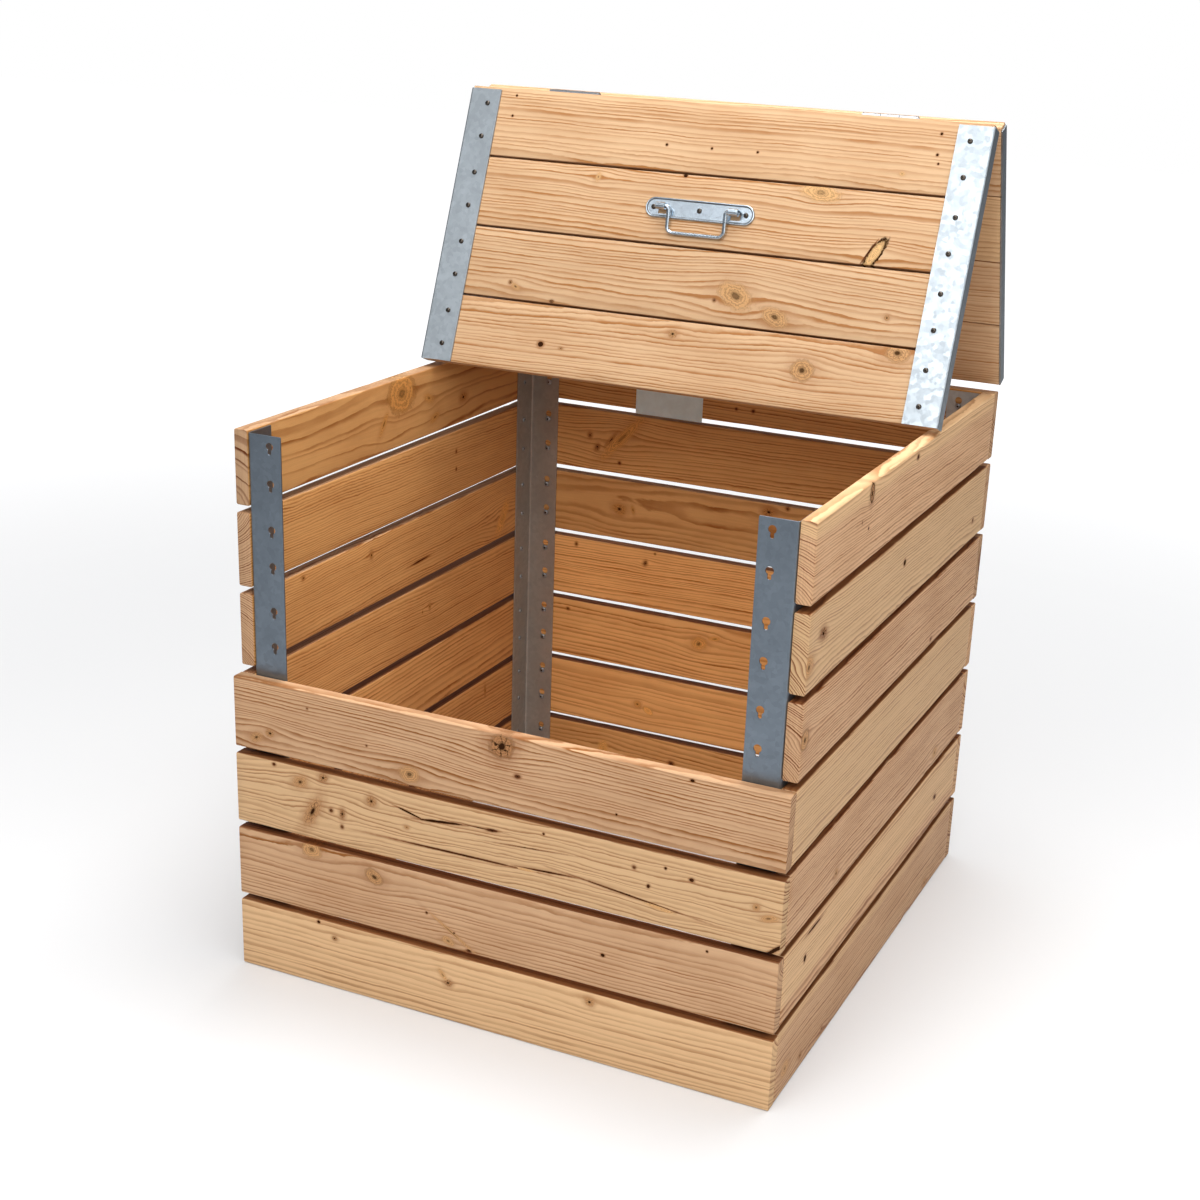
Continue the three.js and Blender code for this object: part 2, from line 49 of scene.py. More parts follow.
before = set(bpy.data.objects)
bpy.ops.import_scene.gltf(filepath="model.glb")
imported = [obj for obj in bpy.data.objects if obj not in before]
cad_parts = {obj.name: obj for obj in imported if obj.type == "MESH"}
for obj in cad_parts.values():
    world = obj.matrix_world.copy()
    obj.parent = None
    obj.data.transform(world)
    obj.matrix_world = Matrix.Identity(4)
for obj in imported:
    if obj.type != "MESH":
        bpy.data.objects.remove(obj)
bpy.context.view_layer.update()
MM = 0.001
FRONT_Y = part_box("front_board_1")[0].y


def linear(code):
    """A colour written as six hexadecimal digits, as linear red, green and blue."""
    values = [int(code[i : i + 2], 16) / 255 for i in (0, 2, 4)]
    return [v / 12.92 if v <= 0.04045 else ((v + 0.055) / 1.055) ** 2.4 for v in values]


def colour_property(name, description, code):
    """A colour that a user can change. Its default is six hexadecimal digits."""
    return FloatVectorProperty(
        name=name,
        description=description,
        subtype="COLOR",
        size=3,
        min=0,
        max=1,
        default=linear(code),
    )


def length_property(name, description, millimetres):
    """A length that a user can change, with its default in millimetres."""
    return FloatProperty(
        name=name,
        description=description,
        unit="LENGTH",
        subtype="DISTANCE",
        min=0,
        default=millimetres * MM,
    )


class BinSizes(bpy.types.PropertyGroup):
    """Sizes of the bin's boards, sheet metal and fittings"""

    board_length: length_property("Board length", "Length of every board", 785)
    board_height: length_property("Board height", "Height of a wall board", 100)
    board_thickness: length_property("Board thickness", "Thickness of a wall board", 20)
    board_gap: length_property("Board gap", "Open gap between two wall boards", 10)
    wall_ease: length_property("Wall edge", "Rounding of a wall board's edges", 2.2)
    lid_ease: length_property("Lid edge", "Rounding of a lid board's edges", 0.9)
    flange: length_property("Flange", "Width of a post's and a strip's flange", 50)
    sheet: length_property("Sheet", "Thickness of the galvanised sheet", 2)
    rear_seam: length_property("Rear seams", "Seam between the lid's rear boards", 1)
    front_seam: length_property("Front seams", "Seam between the lid's front boards", 3)
    lid_gap: length_property("Lid gap", "Gap between the lid's two halves", 10)
    plate_length: length_property("Handle plate", "Length of the handle's plate", 165)
    plate_width: length_property("Plate width", "Width of the handle's plate", 29)
    bail_wire: length_property("Bail wire", "Thickness of the bail's wire", 5.6)
    lid_lean: FloatProperty(
        name="Lid lean",
        description="Lean of each lid half from upright in the tent",
        unit="ROTATION",
        subtype="ANGLE",
        default=math.radians(21.5),
    )
    grain_seed: IntProperty(
        name="Grain seed",
        description="Changes the figure of all boards",
        min=0,
        default=3,
    )


class BinFinishes(bpy.types.PropertyGroup):
    """Colours of the bin's wood, metal and surroundings"""

    wall_early: colour_property("Wall wood", "Pale wood of the walls", "D1A881")
    wall_late: colour_property("Wall rings", "Dark rings of the walls' wood", "905825")
    lid_early: colour_property("Lid wood", "Pale wood of the lid", "D2AE87")
    lid_late: colour_property("Lid rings", "Dark rings of the lid's wood", "A46D39")
    sapwood: colour_property("Sapwood", "Palest wood, from the rim of the trunk", "D5AF83")
    # Painted warm bounce light: shares that change the wood's colour on the side towards the
    # compost
    inside: FloatVectorProperty(
        name="Inside",
        description="How the wood's red, green and blue change on the side towards the compost",
        size=3,
        min=0,
        max=2,
        default=(1.12, 0.95, 0.60),
    )
    knot: colour_property("Knots", "Wood of the knots", "824420")
    galvanised: colour_property("Galvanised", "Zinc coat of the lid's strips", "A7AFB5")
    # The posts carry the strips' zinc with painted light: the front posts' is darker as painted
    # shade, the rear posts' browner as a painted reflection of the wood
    shaded_front_zinc: colour_property("Front zinc, painted shade", "Duller zinc coat of the front posts", "818C97")
    rear_zinc_wood_reflection: colour_property("Rear zinc, painted wood reflection", "Zinc coat of the rear posts", "B4AEA6")
    dull: colour_property("Dull plating", "Plating of hinges and most screws", "A2A7AC")
    plated: colour_property("Plated", "Plating of the handle", "C6D2DC")
    # The lid's screws: the same zinc plating, darkened as painted shade
    lid_screw: colour_property("Lid screws", "Darker plating of the lid's screws", "5A534C")
    label: colour_property("Label", "Blank label inside the rear wall", "E4F9FF")
    floor: colour_property("Floor", "Floor and background", "D4D4D4")


def sizes():
    """The sizes that the scene holds for the bin."""
    return bpy.context.scene.bin_sizes


def finishes():
    """The colours that the scene holds for the bin."""
    return bpy.context.scene.bin_finishes


class Recipe:
    """Adds nodes to a tree and joins them. Values may be numbers, colours or sockets."""

    def __init__(self, tree):
        """The tree that the nodes go into."""
        self.tree = tree

    def add(self, kind, values=None, **settings):
        """A new node with its settings and with values for its inputs."""
        node = self.tree.nodes.new(kind)
        node.location = (190 * (len(self.tree.nodes) // 4), -210 * (len(self.tree.nodes) % 4))
        for key, value in settings.items():
            setattr(node, key, value)
        for key, value in (values or {}).items():
            self.feed(node.inputs[key], value)
        return node

    def feed(self, socket, value):
        """Links a socket to an input, or sets the input to a plain value."""
        if isinstance(value, bpy.types.NodeSocket):
            self.tree.links.new(value, socket)
        else:
            socket.default_value = value

    def math(self, operation, *values, clamp=False):
        """The result of a sum with numbers."""
        node = self.add("ShaderNodeMath", dict(enumerate(values)), operation=operation)
        node.use_clamp = clamp
        return node.outputs[0]

    def vector(self, operation, *values):
        """The result of a sum with vectors or colours."""
        node = self.add("ShaderNodeVectorMath", operation=operation)
        for key, value in enumerate(values):
            self.feed(node.inputs[key], value)
        return node.outputs["Value" if operation == "LENGTH" else "Vector"]

    def split(self, vector):
        """The three parts of a vector."""
        return self.add("ShaderNodeSeparateXYZ", {0: vector}).outputs

    def join(self, x, y, z):
        """A vector of three parts."""
        return self.add("ShaderNodeCombineXYZ", {0: x, 1: y, 2: z}).outputs[0]

    def noise(self, place, scale, detail=2.0, roughness=0.5):
        """Soft noise between 0 and 1, mostly near the middle."""
        values = {"Vector": place, "Scale": scale, "Detail": detail, "Roughness": roughness}
        return self.add("ShaderNodeTexNoise", values).outputs["Fac"]

    def ease(self, value, low, high, start=0.0, end=1.0):
        """Goes softly from start to end while a value goes from low to high."""
        values = {
            "Value": value,
            "From Min": low,
            "From Max": high,
            "To Min": start,
            "To Max": end,
        }
        node = self.add("ShaderNodeMapRange", values, interpolation_type="SMOOTHSTEP")
        return node.outputs["Result"]

    def mix(self, share, first, second):
        """A colour between two others, with that share of the second."""
        node = self.add("ShaderNodeMix", data_type="RGBA")
        for key, value in ((0, share), (6, first), (7, second)):
            self.feed(node.inputs[key], value)
        return node.outputs[2]


def group(name, inputs, outputs):
    """A new node group with named sockets, and the recipe that fills it."""
    tree = bpy.data.node_groups.new(name, "ShaderNodeTree")
    for direction, sockets in (("INPUT", inputs), ("OUTPUT", outputs)):
        for label, kind in sockets.items():
            tree.interface.new_socket(label, in_out=direction, socket_type="NodeSocket" + kind)
    recipe = Recipe(tree)
    given = recipe.add("NodeGroupInput").outputs
    result = recipe.add("NodeGroupOutput").inputs
    return tree, recipe, given, result


def group_of(name, maker):
    """The node group of that name, made the first time that it is asked for."""
    return bpy.data.node_groups.get(name) or maker(name)


# What is told of the nearest knot: its distance in radii, its drying cracks, its darkness
# and its outline
KNOT_LOOKS = ("Nearest", "Spokes", "Dark", "Rim")


def knot_group(name):
    """Bends the grain round one knot, and hands on whichever knot is the nearest so far."""
    own_values = (
        "Wobble", "Along", "Across", "Radius", "Stretch", "Lean", "Flow", "Own dark", "Own rim"
    )
    inputs = {"Place": "Vector", "Straight place": "Vector"}
    inputs |= {label: "Float" for label in KNOT_LOOKS + own_values}
    outputs = {"Place": "Vector"} | {label: "Float" for label in KNOT_LOOKS}
    tree, r, given, result = group(name, inputs, outputs)
    # The knot's own oval, turned by its lean
    sx, _, sz = r.split(given["Straight place"])
    dx = r.math("SUBTRACT", sx, given["Along"])
    dz = r.math("SUBTRACT", sz, given["Across"])
    cosine, sine = r.math("COSINE", given["Lean"]), r.math("SINE", given["Lean"])
    turned = r.math("MULTIPLY_ADD", dz, sine, r.math("MULTIPLY", dx, cosine))
    long_way = r.math("DIVIDE", turned, given["Stretch"])
    short_way = r.math("SUBTRACT", r.math("MULTIPLY", dz, cosine), r.math("MULTIPLY", dx, sine))
    square = r.math("MULTIPLY_ADD", long_way, long_way, r.math("MULTIPLY", short_way, short_way))
    reach = r.math("SQRT", square)
    uneven = r.math("MULTIPLY_ADD", given["Wobble"], 0.8, 0.6)
    distance = r.math("DIVIDE", reach, r.math("MULTIPLY", given["Radius"], uneven))
    # Drying cracks run out from its middle like spokes
    angle = r.math("ARCTAN2", short_way, long_way)
    wind = r.math("MULTIPLY_ADD", given["Wobble"], 9.0, given["Along"])
    spoke = r.math("ABSOLUTE", r.math("SINE", r.math("MULTIPLY_ADD", angle, 3.5, wind)))
    ends = r.ease(distance, 0.3, 1.25, 1.0, 0.0)
    star = r.math("MULTIPLY", r.ease(spoke, 0.0, 0.5, 1.0, 0.0), ends)
    closer = r.math("LESS_THAN", distance, given["Nearest"])
    own = (distance, star, given["Own dark"], given["Own rim"])
    for label, value in zip(KNOT_LOOKS, own):
        step = r.math("SUBTRACT", value, given[label])
        r.feed(result[label], r.math("MULTIPLY_ADD", step, closer, given[label]))
    # The grain parts over a long low mound, longer than the knot
    x, y, z = r.split(given["Place"])
    flow_x = r.math("DIVIDE", r.math("SUBTRACT", x, given["Along"]), 2.0)
    flow_z = r.math("SUBTRACT", z, given["Across"])
    flow = r.math("MULTIPLY_ADD", flow_x, flow_x, r.math("MULTIPLY", flow_z, flow_z))
    room = r.math("MULTIPLY", given["Flow"], given["Flow"])
    part = r.math("DIVIDE", room, r.math("ADD", flow, r.math("MULTIPLY_ADD", room, 0.6, 0.01)))
    keep = r.math("SUBTRACT", 1.0, r.math("MULTIPLY", part, 0.54), clamp=True)
    bent = r.math("MULTIPLY_ADD", flow_z, keep, given["Across"])
    r.feed(result["Place"], r.join(x, y, bent))
    return tree


def softwood_group(name):
    """Growth rings of a trunk cut by a board, with fibres, knots and end grain."""
    numbers = ("Heart depth", "Heart across", "Ring", "Wave", "Sapwood", "Seed", "Half length")
    colours = ("Early wood", "Late wood", "Sap", "Knot wood", "Inside")
    inputs = {"Place": "Vector", "Straight place": "Vector"}
    inputs |= {label: "Float" for label in KNOT_LOOKS + numbers + ("Shade below", "Shade above")}
    inputs |= {label: "Color" for label in colours}
    outputs = {"Colour": "Color", "Roughness": "Float", "Height": "Float", "Gloss": "Float"}
    tree, r, given, result = group(name, inputs, outputs)
    x, y, z = r.split(given["Place"])
    sx, sy, sz = r.split(given["Straight place"])
    seed, wave = given["Seed"], given["Wave"]
    early, late_wood, sap_wood = given["Early wood"], given["Late wood"], given["Sap"]
    # The heart wanders slowly along the trunk
    slow = r.math("MULTIPLY_ADD", x, 0.0032, seed)
    drift_y = r.math("SUBTRACT", r.noise(r.join(slow, 0.0, 3.7), 1.0, 1.0), 0.5)
    drift_z = r.math("SUBTRACT", r.noise(r.join(slow, 8.1, 0.0), 1.0, 1.0), 0.5)
    wandered_y = r.math("MULTIPLY_ADD", drift_y, r.math("MULTIPLY", wave, 3.0), y)
    wandered_z = r.math("MULTIPLY_ADD", drift_z, r.math("MULTIPLY", wave, 4.0), z)
    from_y = r.math("SUBTRACT", wandered_y, given["Heart depth"])
    from_z = r.math("SUBTRACT", wandered_z, given["Heart across"])
    square = r.math("MULTIPLY_ADD", from_y, from_y, r.math("MULTIPLY", from_z, from_z))
    reach = r.math("SQRT", square)
    ripple_place = r.join(
        r.math("MULTIPLY_ADD", x, 0.012, seed),
        r.math("MULTIPLY", y, 0.03),
        r.math("MULTIPLY_ADD", z, 0.04, seed),
    )
    ripple = r.math("SUBTRACT", r.noise(ripple_place, 1.0, 3.0, 0.5), 0.5)
    grown = r.math("MULTIPLY_ADD", ripple, r.math("MULTIPLY", wave, 1.6), reach)
    quiver_place = r.join(
        r.math("MULTIPLY_ADD", x, 0.05, seed),
        r.math("MULTIPLY", y, 0.05),
        r.math("MULTIPLY", z, 0.16),
    )
    quiver = r.math("SUBTRACT", r.noise(quiver_place, 1.0, 2.0, 0.6), 0.5)
    grown = r.math("MULTIPLY_ADD", quiver, 2.0, grown)
    tapered = r.math("MULTIPLY_ADD", x, 0.012, grown)
    uneven = r.noise(r.join(r.math("MULTIPLY", tapered, 0.06), seed, 0.0), 1.0, 2.0)
    years = r.math("MULTIPLY_ADD", uneven, 3.2, r.math("DIVIDE", tapered, given["Ring"]))
    season = r.math("FRACT", years)
    year = r.math("FLOOR", years)
    luck = r.add("ShaderNodeTexWhiteNoise", {"Vector": r.join(year, seed, 0.0)})
    vigour = luck.outputs["Value"]
    swell = r.ease(season, 0.33, 0.86)
    stop = r.ease(season, 0.88, 1.0, 1.0, 0.0)
    pulse = r.math("MULTIPLY", swell, stop)
    fade_place = r.join(r.math("MULTIPLY", x, 0.011), r.math("MULTIPLY", year, 3.7), seed)
    fade = r.ease(r.noise(fade_place, 1.0, 2.0), 0.3, 0.7, 0.45, 1.3)
    strength = r.math("MULTIPLY_ADD", vigour, 0.8, 0.35)
    late = r.math("MULTIPLY", r.math("MULTIPLY", pulse, fade), strength)
    summer = r.math("MULTIPLY", r.ease(season, 0.1, 0.9), r.math("MULTIPLY", stop, 0.16))
    # Fibres run along the board, coarse streaks and fine lines
    across = r.math("MULTIPLY_ADD", sz, 0.2, z)
    streak_place = r.join(
        r.math("MULTIPLY_ADD", sx, 0.006, seed),
        r.math("MULTIPLY", sy, 0.2),
        r.math("MULTIPLY", across, 0.3),
    )
    streak = r.noise(streak_place, 1.0, 4.0, 0.6)
    fibre_place = r.join(
        r.math("MULTIPLY_ADD", sx, 0.035, seed),
        r.math("MULTIPLY", sy, 1.4),
        r.math("MULTIPLY", across, 1.6),
    )
    fibre = r.noise(fibre_place, 1.0, 3.0, 0.65)
    cloud_place = r.join(
        r.math("MULTIPLY_ADD", sx, 0.007, seed), sy, r.math("MULTIPLY", sz, 0.02)
    )
    cloud = r.ease(r.noise(cloud_place, 1.0, 3.0), 0.35, 0.7)
    # The outer rings are sapwood, paler and with fainter lines
    old, young = (r.math(way, given["Sapwood"], 4.0) for way in ("SUBTRACT", "ADD"))
    sap = r.ease(grown, old, young)
    pale = r.mix(sap, r.mix(r.math("MULTIPLY", cloud, 0.18), early, late_wood), sap_wood)
    line = r.mix(r.math("MULTIPLY", sap, 0.3), late_wood, sap_wood)
    inward = r.ease(sy, 8.4, 9.8)
    depth = r.math("MULTIPLY", late, r.math("MULTIPLY_ADD", inward, -0.2, 0.86))
    ringed = r.mix(r.math("ADD", depth, summer, clamp=True), pale, line)
    streaky = r.math("MULTIPLY_ADD", streak, 0.28, 0.86)
    tone = r.math("ADD", streaky, r.math("MULTIPLY_ADD", fibre, 0.26, -0.13))
    grained = r.vector("MULTIPLY", ringed, r.join(tone, tone, tone))
    # A knot has its own small rings, a dark outline or a soft edge, and a warm halo
    knot, dark, rim = given["Nearest"], given["Dark"], given["Rim"]
    soft = r.math("SUBTRACT", 1.0, rim)
    last_inside = r.math("MULTIPLY_ADD", soft, -0.5, 0.95)
    first_outside = r.math("MULTIPLY_ADD", soft, 0.4, 1.02)
    inside = r.ease(knot, last_inside, first_outside, 1.0, 0.0)
    square_rim = r.math("MULTIPLY", rim, rim)
    start = r.math("MULTIPLY_ADD", square_rim, -0.28, 0.86)
    band = r.math("MULTIPLY", r.ease(knot, start, 0.92), r.ease(knot, 1.0, 1.16, 1.0, 0.0))
    speckle = r.noise(given["Straight place"], 0.35, 4.0, 0.7)
    broken = r.math("MULTIPLY", square_rim, r.ease(speckle, 0.3, 0.55, 0.5, 1.1))
    outline = r.math("MULTIPLY", band, broken)
    glow = r.math("MULTIPLY", dark, 0.4, clamp=True)
    halo = r.math("MULTIPLY", r.ease(knot, 0.9, 2.3, 1.0, 0.0), glow)
    turns = r.math("FRACT", r.math("MULTIPLY_ADD", knot, 4.3, r.math("MULTIPLY", speckle, 2.4)))
    knot_pale = r.vector("MULTIPLY", early, (1.02, 0.93, 0.68))
    flesh = r.mix(r.math("MULTIPLY", dark, 0.62, clamp=True), knot_pale, given["Knot wood"])
    shade = r.math("MULTIPLY_ADD", r.ease(turns, 0.4, 0.95), -0.5, 1.14)
    heartwood = r.vector("MULTIPLY", flesh, r.join(shade, shade, shade))
    warm = r.mix(halo, grained, r.mix(0.5, late_wood, given["Knot wood"]))
    knotted = r.mix(inside, warm, heartwood)
    core = r.math("MULTIPLY", r.ease(knot, 0.1, 0.42, 1.0, 0.0), r.math("MULTIPLY", dark, 1.5))
    cracked = r.math("MULTIPLY", r.math("SUBTRACT", dark, 0.5, clamp=True), 3.2)
    star = r.math("MULTIPLY", given["Spokes"], cracked)
    hole = r.math("MULTIPLY", inside, r.math("SUBTRACT", dark, 1.0, clamp=True))
    black = r.math("MAXIMUM", r.math("MAXIMUM", core, star), r.math("MAXIMUM", outline, hole))
    rimmed = r.mix(r.math("MULTIPLY", black, 0.95, clamp=True), knotted, (0.034, 0.013, 0.005, 1))
    # The side towards the compost gets painted warm bounce light, and painted shade darkens the
    # edges at the gaps
    bounce_lit = r.vector("MULTIPLY", rimmed, r.mix(inward, (1, 1, 1, 1), given["Inside"]))
    # Painted shade: the narrow edges beside the gaps turn towards a deep brown
    lower_gap_shade = r.math("MULTIPLY", r.ease(sz, -49.9, -48.9, 1.0, 0.0), given["Shade below"])
    upper_gap_shade = r.math("MULTIPLY", r.ease(sz, 48.9, 49.9), given["Shade above"])
    gap_shade = r.mix(r.math("ADD", lower_gap_shade, upper_gap_shade), (1, 1, 1, 1), (0.4, 0.24, 0.15, 1))
    gap_shaded = r.vector("MULTIPLY", bounce_lit, gap_shade)
    # End grain is pale between dark, sharp rings
    near_end = r.math("SUBTRACT", given["Half length"], 0.25)
    at_end = r.math("GREATER_THAN", r.math("ABSOLUTE", sx), near_end)
    pores = r.math("MULTIPLY_ADD", r.noise(given["Straight place"], 2.2, 2.0, 0.6), 0.3, 0.74)
    end_pale = r.vector("MULTIPLY", pale, r.join(pores, pores, pores))
    end_line = r.vector("MULTIPLY", line, (0.5, 0.32, 0.25))
    end_wood = r.mix(r.math("MULTIPLY", late, 1.05, clamp=True), end_pale, end_line)
    r.feed(result["Colour"], r.mix(at_end, gap_shaded, end_wood))
    satin = r.math("MULTIPLY_ADD", late, -0.12, r.math("MULTIPLY_ADD", fibre, 0.22, 0.52))
    chalky = r.math("MAXIMUM", r.math("MULTIPLY", at_end, 0.85), r.math("MULTIPLY", black, 0.9))
    r.feed(result["Roughness"], r.math("MAXIMUM", satin, chalky, clamp=True))
    r.feed(result["Gloss"], r.math("MULTIPLY_ADD", r.math("MINIMUM", black, 1.0), -0.24, 0.25))
    ridge = r.math("MULTIPLY_ADD", late, 0.10, r.math("MULTIPLY", fibre, 0.10))
    lifted = r.math("MULTIPLY_ADD", inside, 0.1, r.math("MULTIPLY_ADD", streak, 0.12, ridge))
    r.feed(result["Height"], r.math("MULTIPLY_ADD", black, -0.45, lifted))
    return tree


def material(name):
    """A new material, the recipe that fills it, and the inputs of its shader."""
    made = bpy.data.materials.new(name)
    made.use_nodes = True
    made.node_tree.nodes.clear()
    recipe = Recipe(made.node_tree)
    shader = recipe.add("ShaderNodeBsdfPrincipled")
    recipe.add("ShaderNodeOutputMaterial", {"Surface": shader.outputs[0]})
    return made, recipe, shader.inputs


# A distance in radii that no knot reaches, and the radius up to which the grain runs
# straight past a knot, in millimetres
FAR_OFF = 99.0
PIN_KNOT = 2.6


def local_millimetres(recipe):
    """The place on the piece itself, in millimetres."""
    place = recipe.add("ShaderNodeTexCoord").outputs["Object"]
    node = recipe.add("ShaderNodeVectorMath", {0: place}, operation="SCALE")
    node.inputs["Scale"].default_value = 1000.0
    return node.outputs[0]


def relief(recipe, height, strength):
    """Small unevenness of a surface, from a height in millimetres."""
    values = {"Height": height, "Strength": strength, "Distance": MM}
    return recipe.add("ShaderNodeBump", values).outputs[0]


def softwood(name, early, late, sap, inside, length, grain, gap_shade):
    """The wood of one board. The grain holds its heart, ring width, seed and knots, and
    gap_shade says how much painted shade darkens its lower and upper edges."""
    made, r, shader = material(name)
    place = local_millimetres(r)
    wobble = r.noise(place, 0.08, 3.0, 0.65)
    round_a_knot = group_of("Grain round a knot", knot_group)
    bent, looks = place, dict(zip(KNOT_LOOKS, (FAR_OFF, 0.0, 0.0, 0.0)))
    for along, across, radius, stretch, lean, dark, rim in grain["knots"]:
        turn = math.radians(lean)
        tall = math.hypot(radius * math.cos(turn), radius * stretch * math.sin(turn))
        flow = min(tall, 1.5 * radius) * (1.7 - 0.5 * rim)
        own = {
            "Along": along,
            "Across": across,
            "Radius": radius,
            "Stretch": stretch,
            "Lean": turn,
            "Flow": flow if radius > PIN_KNOT else 0.0,
            "Own dark": dark,
            "Own rim": rim,
        }
        node = r.add("ShaderNodeGroup", node_tree=round_a_knot)
        given = {"Place": bent, "Straight place": place, "Wobble": wobble, **looks, **own}
        for label, value in given.items():
            r.feed(node.inputs[label], value)
        bent = node.outputs["Place"]
        looks = {label: node.outputs[label] for label in looks}
    wood = r.add("ShaderNodeGroup", node_tree=group_of("Softwood", softwood_group))
    # The tone, which on some boards is also painted light, scales every wood colour
    tone_and_painted_light = grain["tone"]
    given = {
        "Place": bent,
        "Straight place": place,
        **looks,
        "Heart depth": grain["depth"],
        "Heart across": grain["across"],
        "Ring": grain["ring"],
        "Wave": grain["wave"],
        "Sapwood": grain["sap"],
        "Seed": grain["seed"],
        "Half length": length / 2 / MM,
        "Shade below": float(gap_shade[0]),
        "Shade above": float(gap_shade[1]),
        "Early wood": [*(c * tone_and_painted_light for c in early), 1],
        "Late wood": [*(c * tone_and_painted_light for c in late), 1],
        "Sap": [*(c * tone_and_painted_light for c in sap), 1],
        "Knot wood": [*finishes().knot, 1],
        "Inside": [*inside, 1],
    }
    for label, value in given.items():
        r.feed(wood.inputs[label], value)
    r.feed(shader["Base Color"], wood.outputs["Colour"])
    r.feed(shader["Roughness"], wood.outputs["Roughness"])
    r.feed(shader["Normal"], relief(r, wood.outputs["Height"], 0.8))
    r.feed(shader["Specular IOR Level"], wood.outputs["Gloss"])
    return made


def dimmed(colour, share):
    """A colour at a share of its brightness, with full alpha."""
    return [*(c * share for c in colour), 1]


def galvanised(name, coat, metallic):
    """Zinc-coated sheet: a faint spangle of crystals under a dull bloom."""
    made, r, shader = material(name)
    place = local_millimetres(r)
    drift = r.add("ShaderNodeTexNoise", {"Vector": place, "Scale": 0.2}).outputs["Color"]
    wavy = r.vector("MULTIPLY_ADD", drift, (3, 3, 3), place)
    spangle = r.add("ShaderNodeTexVoronoi", {"Vector": wavy, "Scale": 0.16})
    shade = r.split(spangle.outputs["Color"])[0]
    fine = r.noise(place, 1.4, 3.0, 0.6)
    bloom = r.noise(place, 0.018, 4.0, 0.6)
    dull = r.mix(r.ease(bloom, 0.35, 0.7, 0.0, 0.5), [*coat, 1], dimmed(coat, 0.72))
    facets = r.mix(r.math("MULTIPLY", shade, 0.3), dull, dimmed(coat, 0.62))
    r.feed(shader["Base Color"], facets)
    roughness = r.math("MULTIPLY_ADD", shade, 0.12, r.math("MULTIPLY_ADD", fine, 0.12, 0.26))
    r.feed(shader["Roughness"], roughness)
    shader["Metallic"].default_value = metallic
    height = r.math("MULTIPLY_ADD", fine, 0.02, r.math("MULTIPLY", shade, 0.015))
    r.feed(shader["Normal"], relief(r, height, 0.6))
    return made


def strip_zinc():
    """The zinc of the lid's strips."""
    return galvanised("Galvanised strips", finishes().galvanised, 0.95)


def shaded_front_post_zinc():
    """The zinc of the front posts, darkened as painted shade."""
    return galvanised("Galvanised front posts, painted shade", finishes().shaded_front_zinc, 0.9)


def rear_post_zinc_wood_reflection():
    """The zinc of the rear posts, browner and less metallic as a painted reflection of the wood.
    """
    return galvanised("Galvanised rear posts, painted wood reflection", finishes().rear_zinc_wood_reflection, 0.55)


def plated(name, coat, rough):
    """Zinc plating with fine handling marks. Painted shade darkens the points marked as hollows.
    """
    made, r, shader = material(name)
    place = local_millimetres(r)
    cloud = r.noise(place, 0.09, 3.0, 0.6)
    marks = r.noise(r.vector("MULTIPLY", place, (0.25, 2.2, 2.2)), 1.0, 3.0, 0.7)
    unshaded_plating = r.mix(r.ease(cloud, 0.3, 0.7), [*coat, 1], dimmed(coat, 0.8))
    recess_shade = r.add("ShaderNodeAttribute", attribute_name="recess_shade").outputs["Fac"]
    # Painted shade: points marked in hollows turn near black and rougher
    r.feed(shader["Base Color"], r.mix(recess_shade, unshaded_plating, (0.03, 0.026, 0.022, 1)))
    worn = r.math("MULTIPLY_ADD", marks, 0.16, r.math("MULTIPLY_ADD", cloud, 0.1, rough))
    r.feed(shader["Roughness"], r.math("MULTIPLY_ADD", recess_shade, 0.4, worn))
    shader["Metallic"].default_value = 0.95
    r.feed(shader["Normal"], relief(r, r.math("MULTIPLY", marks, 0.01), 0.5))
    return made


def bright_plating():
    """The brightest plating, of the handle."""
    return plated("Bright plating", finishes().plated, 0.1)


def dull_plating():
    """The duller plating of hinges and of most screws."""
    return plated("Dull plating", finishes().dull, 0.2)


def shaded_lid_screw_plating():
    """The darkest plating, of the screws that show on the lid, darkened as painted shade."""
    return plated("Dark plating, painted shade", finishes().lid_screw, 0.12)


def finish_of(name, maker):
    """The finish of that name, made the first time that it is asked for."""
    return bpy.data.materials.get(name) or maker()


def arc(centre, radius, start, end, steps):
    """Points of an arc in degrees, both ends included."""
    turns = [math.radians(start + (end - start) * i / steps) for i in range(steps + 1)]
    return [(centre[0] + radius * math.cos(t), centre[1] + radius * math.sin(t)) for t in turns]


def rounded_rectangle(left, right, low, high, radius, steps):
    """The closed outline of a rectangle with rounded corners."""
    return (
        arc((right - radius, low + radius), radius, -90, 0, steps)
        + arc((right - radius, high - radius), radius, 0, 90, steps)
        + arc((left + radius, high - radius), radius, 90, 180, steps)
        + arc((left + radius, low + radius), radius, 180, 270, steps)
    )


def object_from(name, verts, faces, finish):
    """An object made of lists of vertices and faces."""
    mesh = bpy.data.meshes.new(name)
    mesh.from_pydata([tuple(v) for v in verts], [], faces)
    return shown(name, mesh, finish)


def shown(name, mesh, finish, sharp=35):
    """An object with a mesh, smooth up to the sharp angle."""
    mesh.validate()
    mesh.update()
    mesh.shade_smooth()
    mesh.set_sharp_from_angle(angle=math.radians(sharp))
    made = bpy.data.objects.new(name, mesh)
    bpy.context.scene.collection.objects.link(made)
    made.data.materials.append(finish)
    return made


def settle(piece, place, body, slot, *nodes):
    """Puts a piece in place on its body, in the stead of the frame's own nodes."""
    piece.matrix_world = place
    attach(piece, body)
    if nodes:
        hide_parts(*nodes)
    return piece


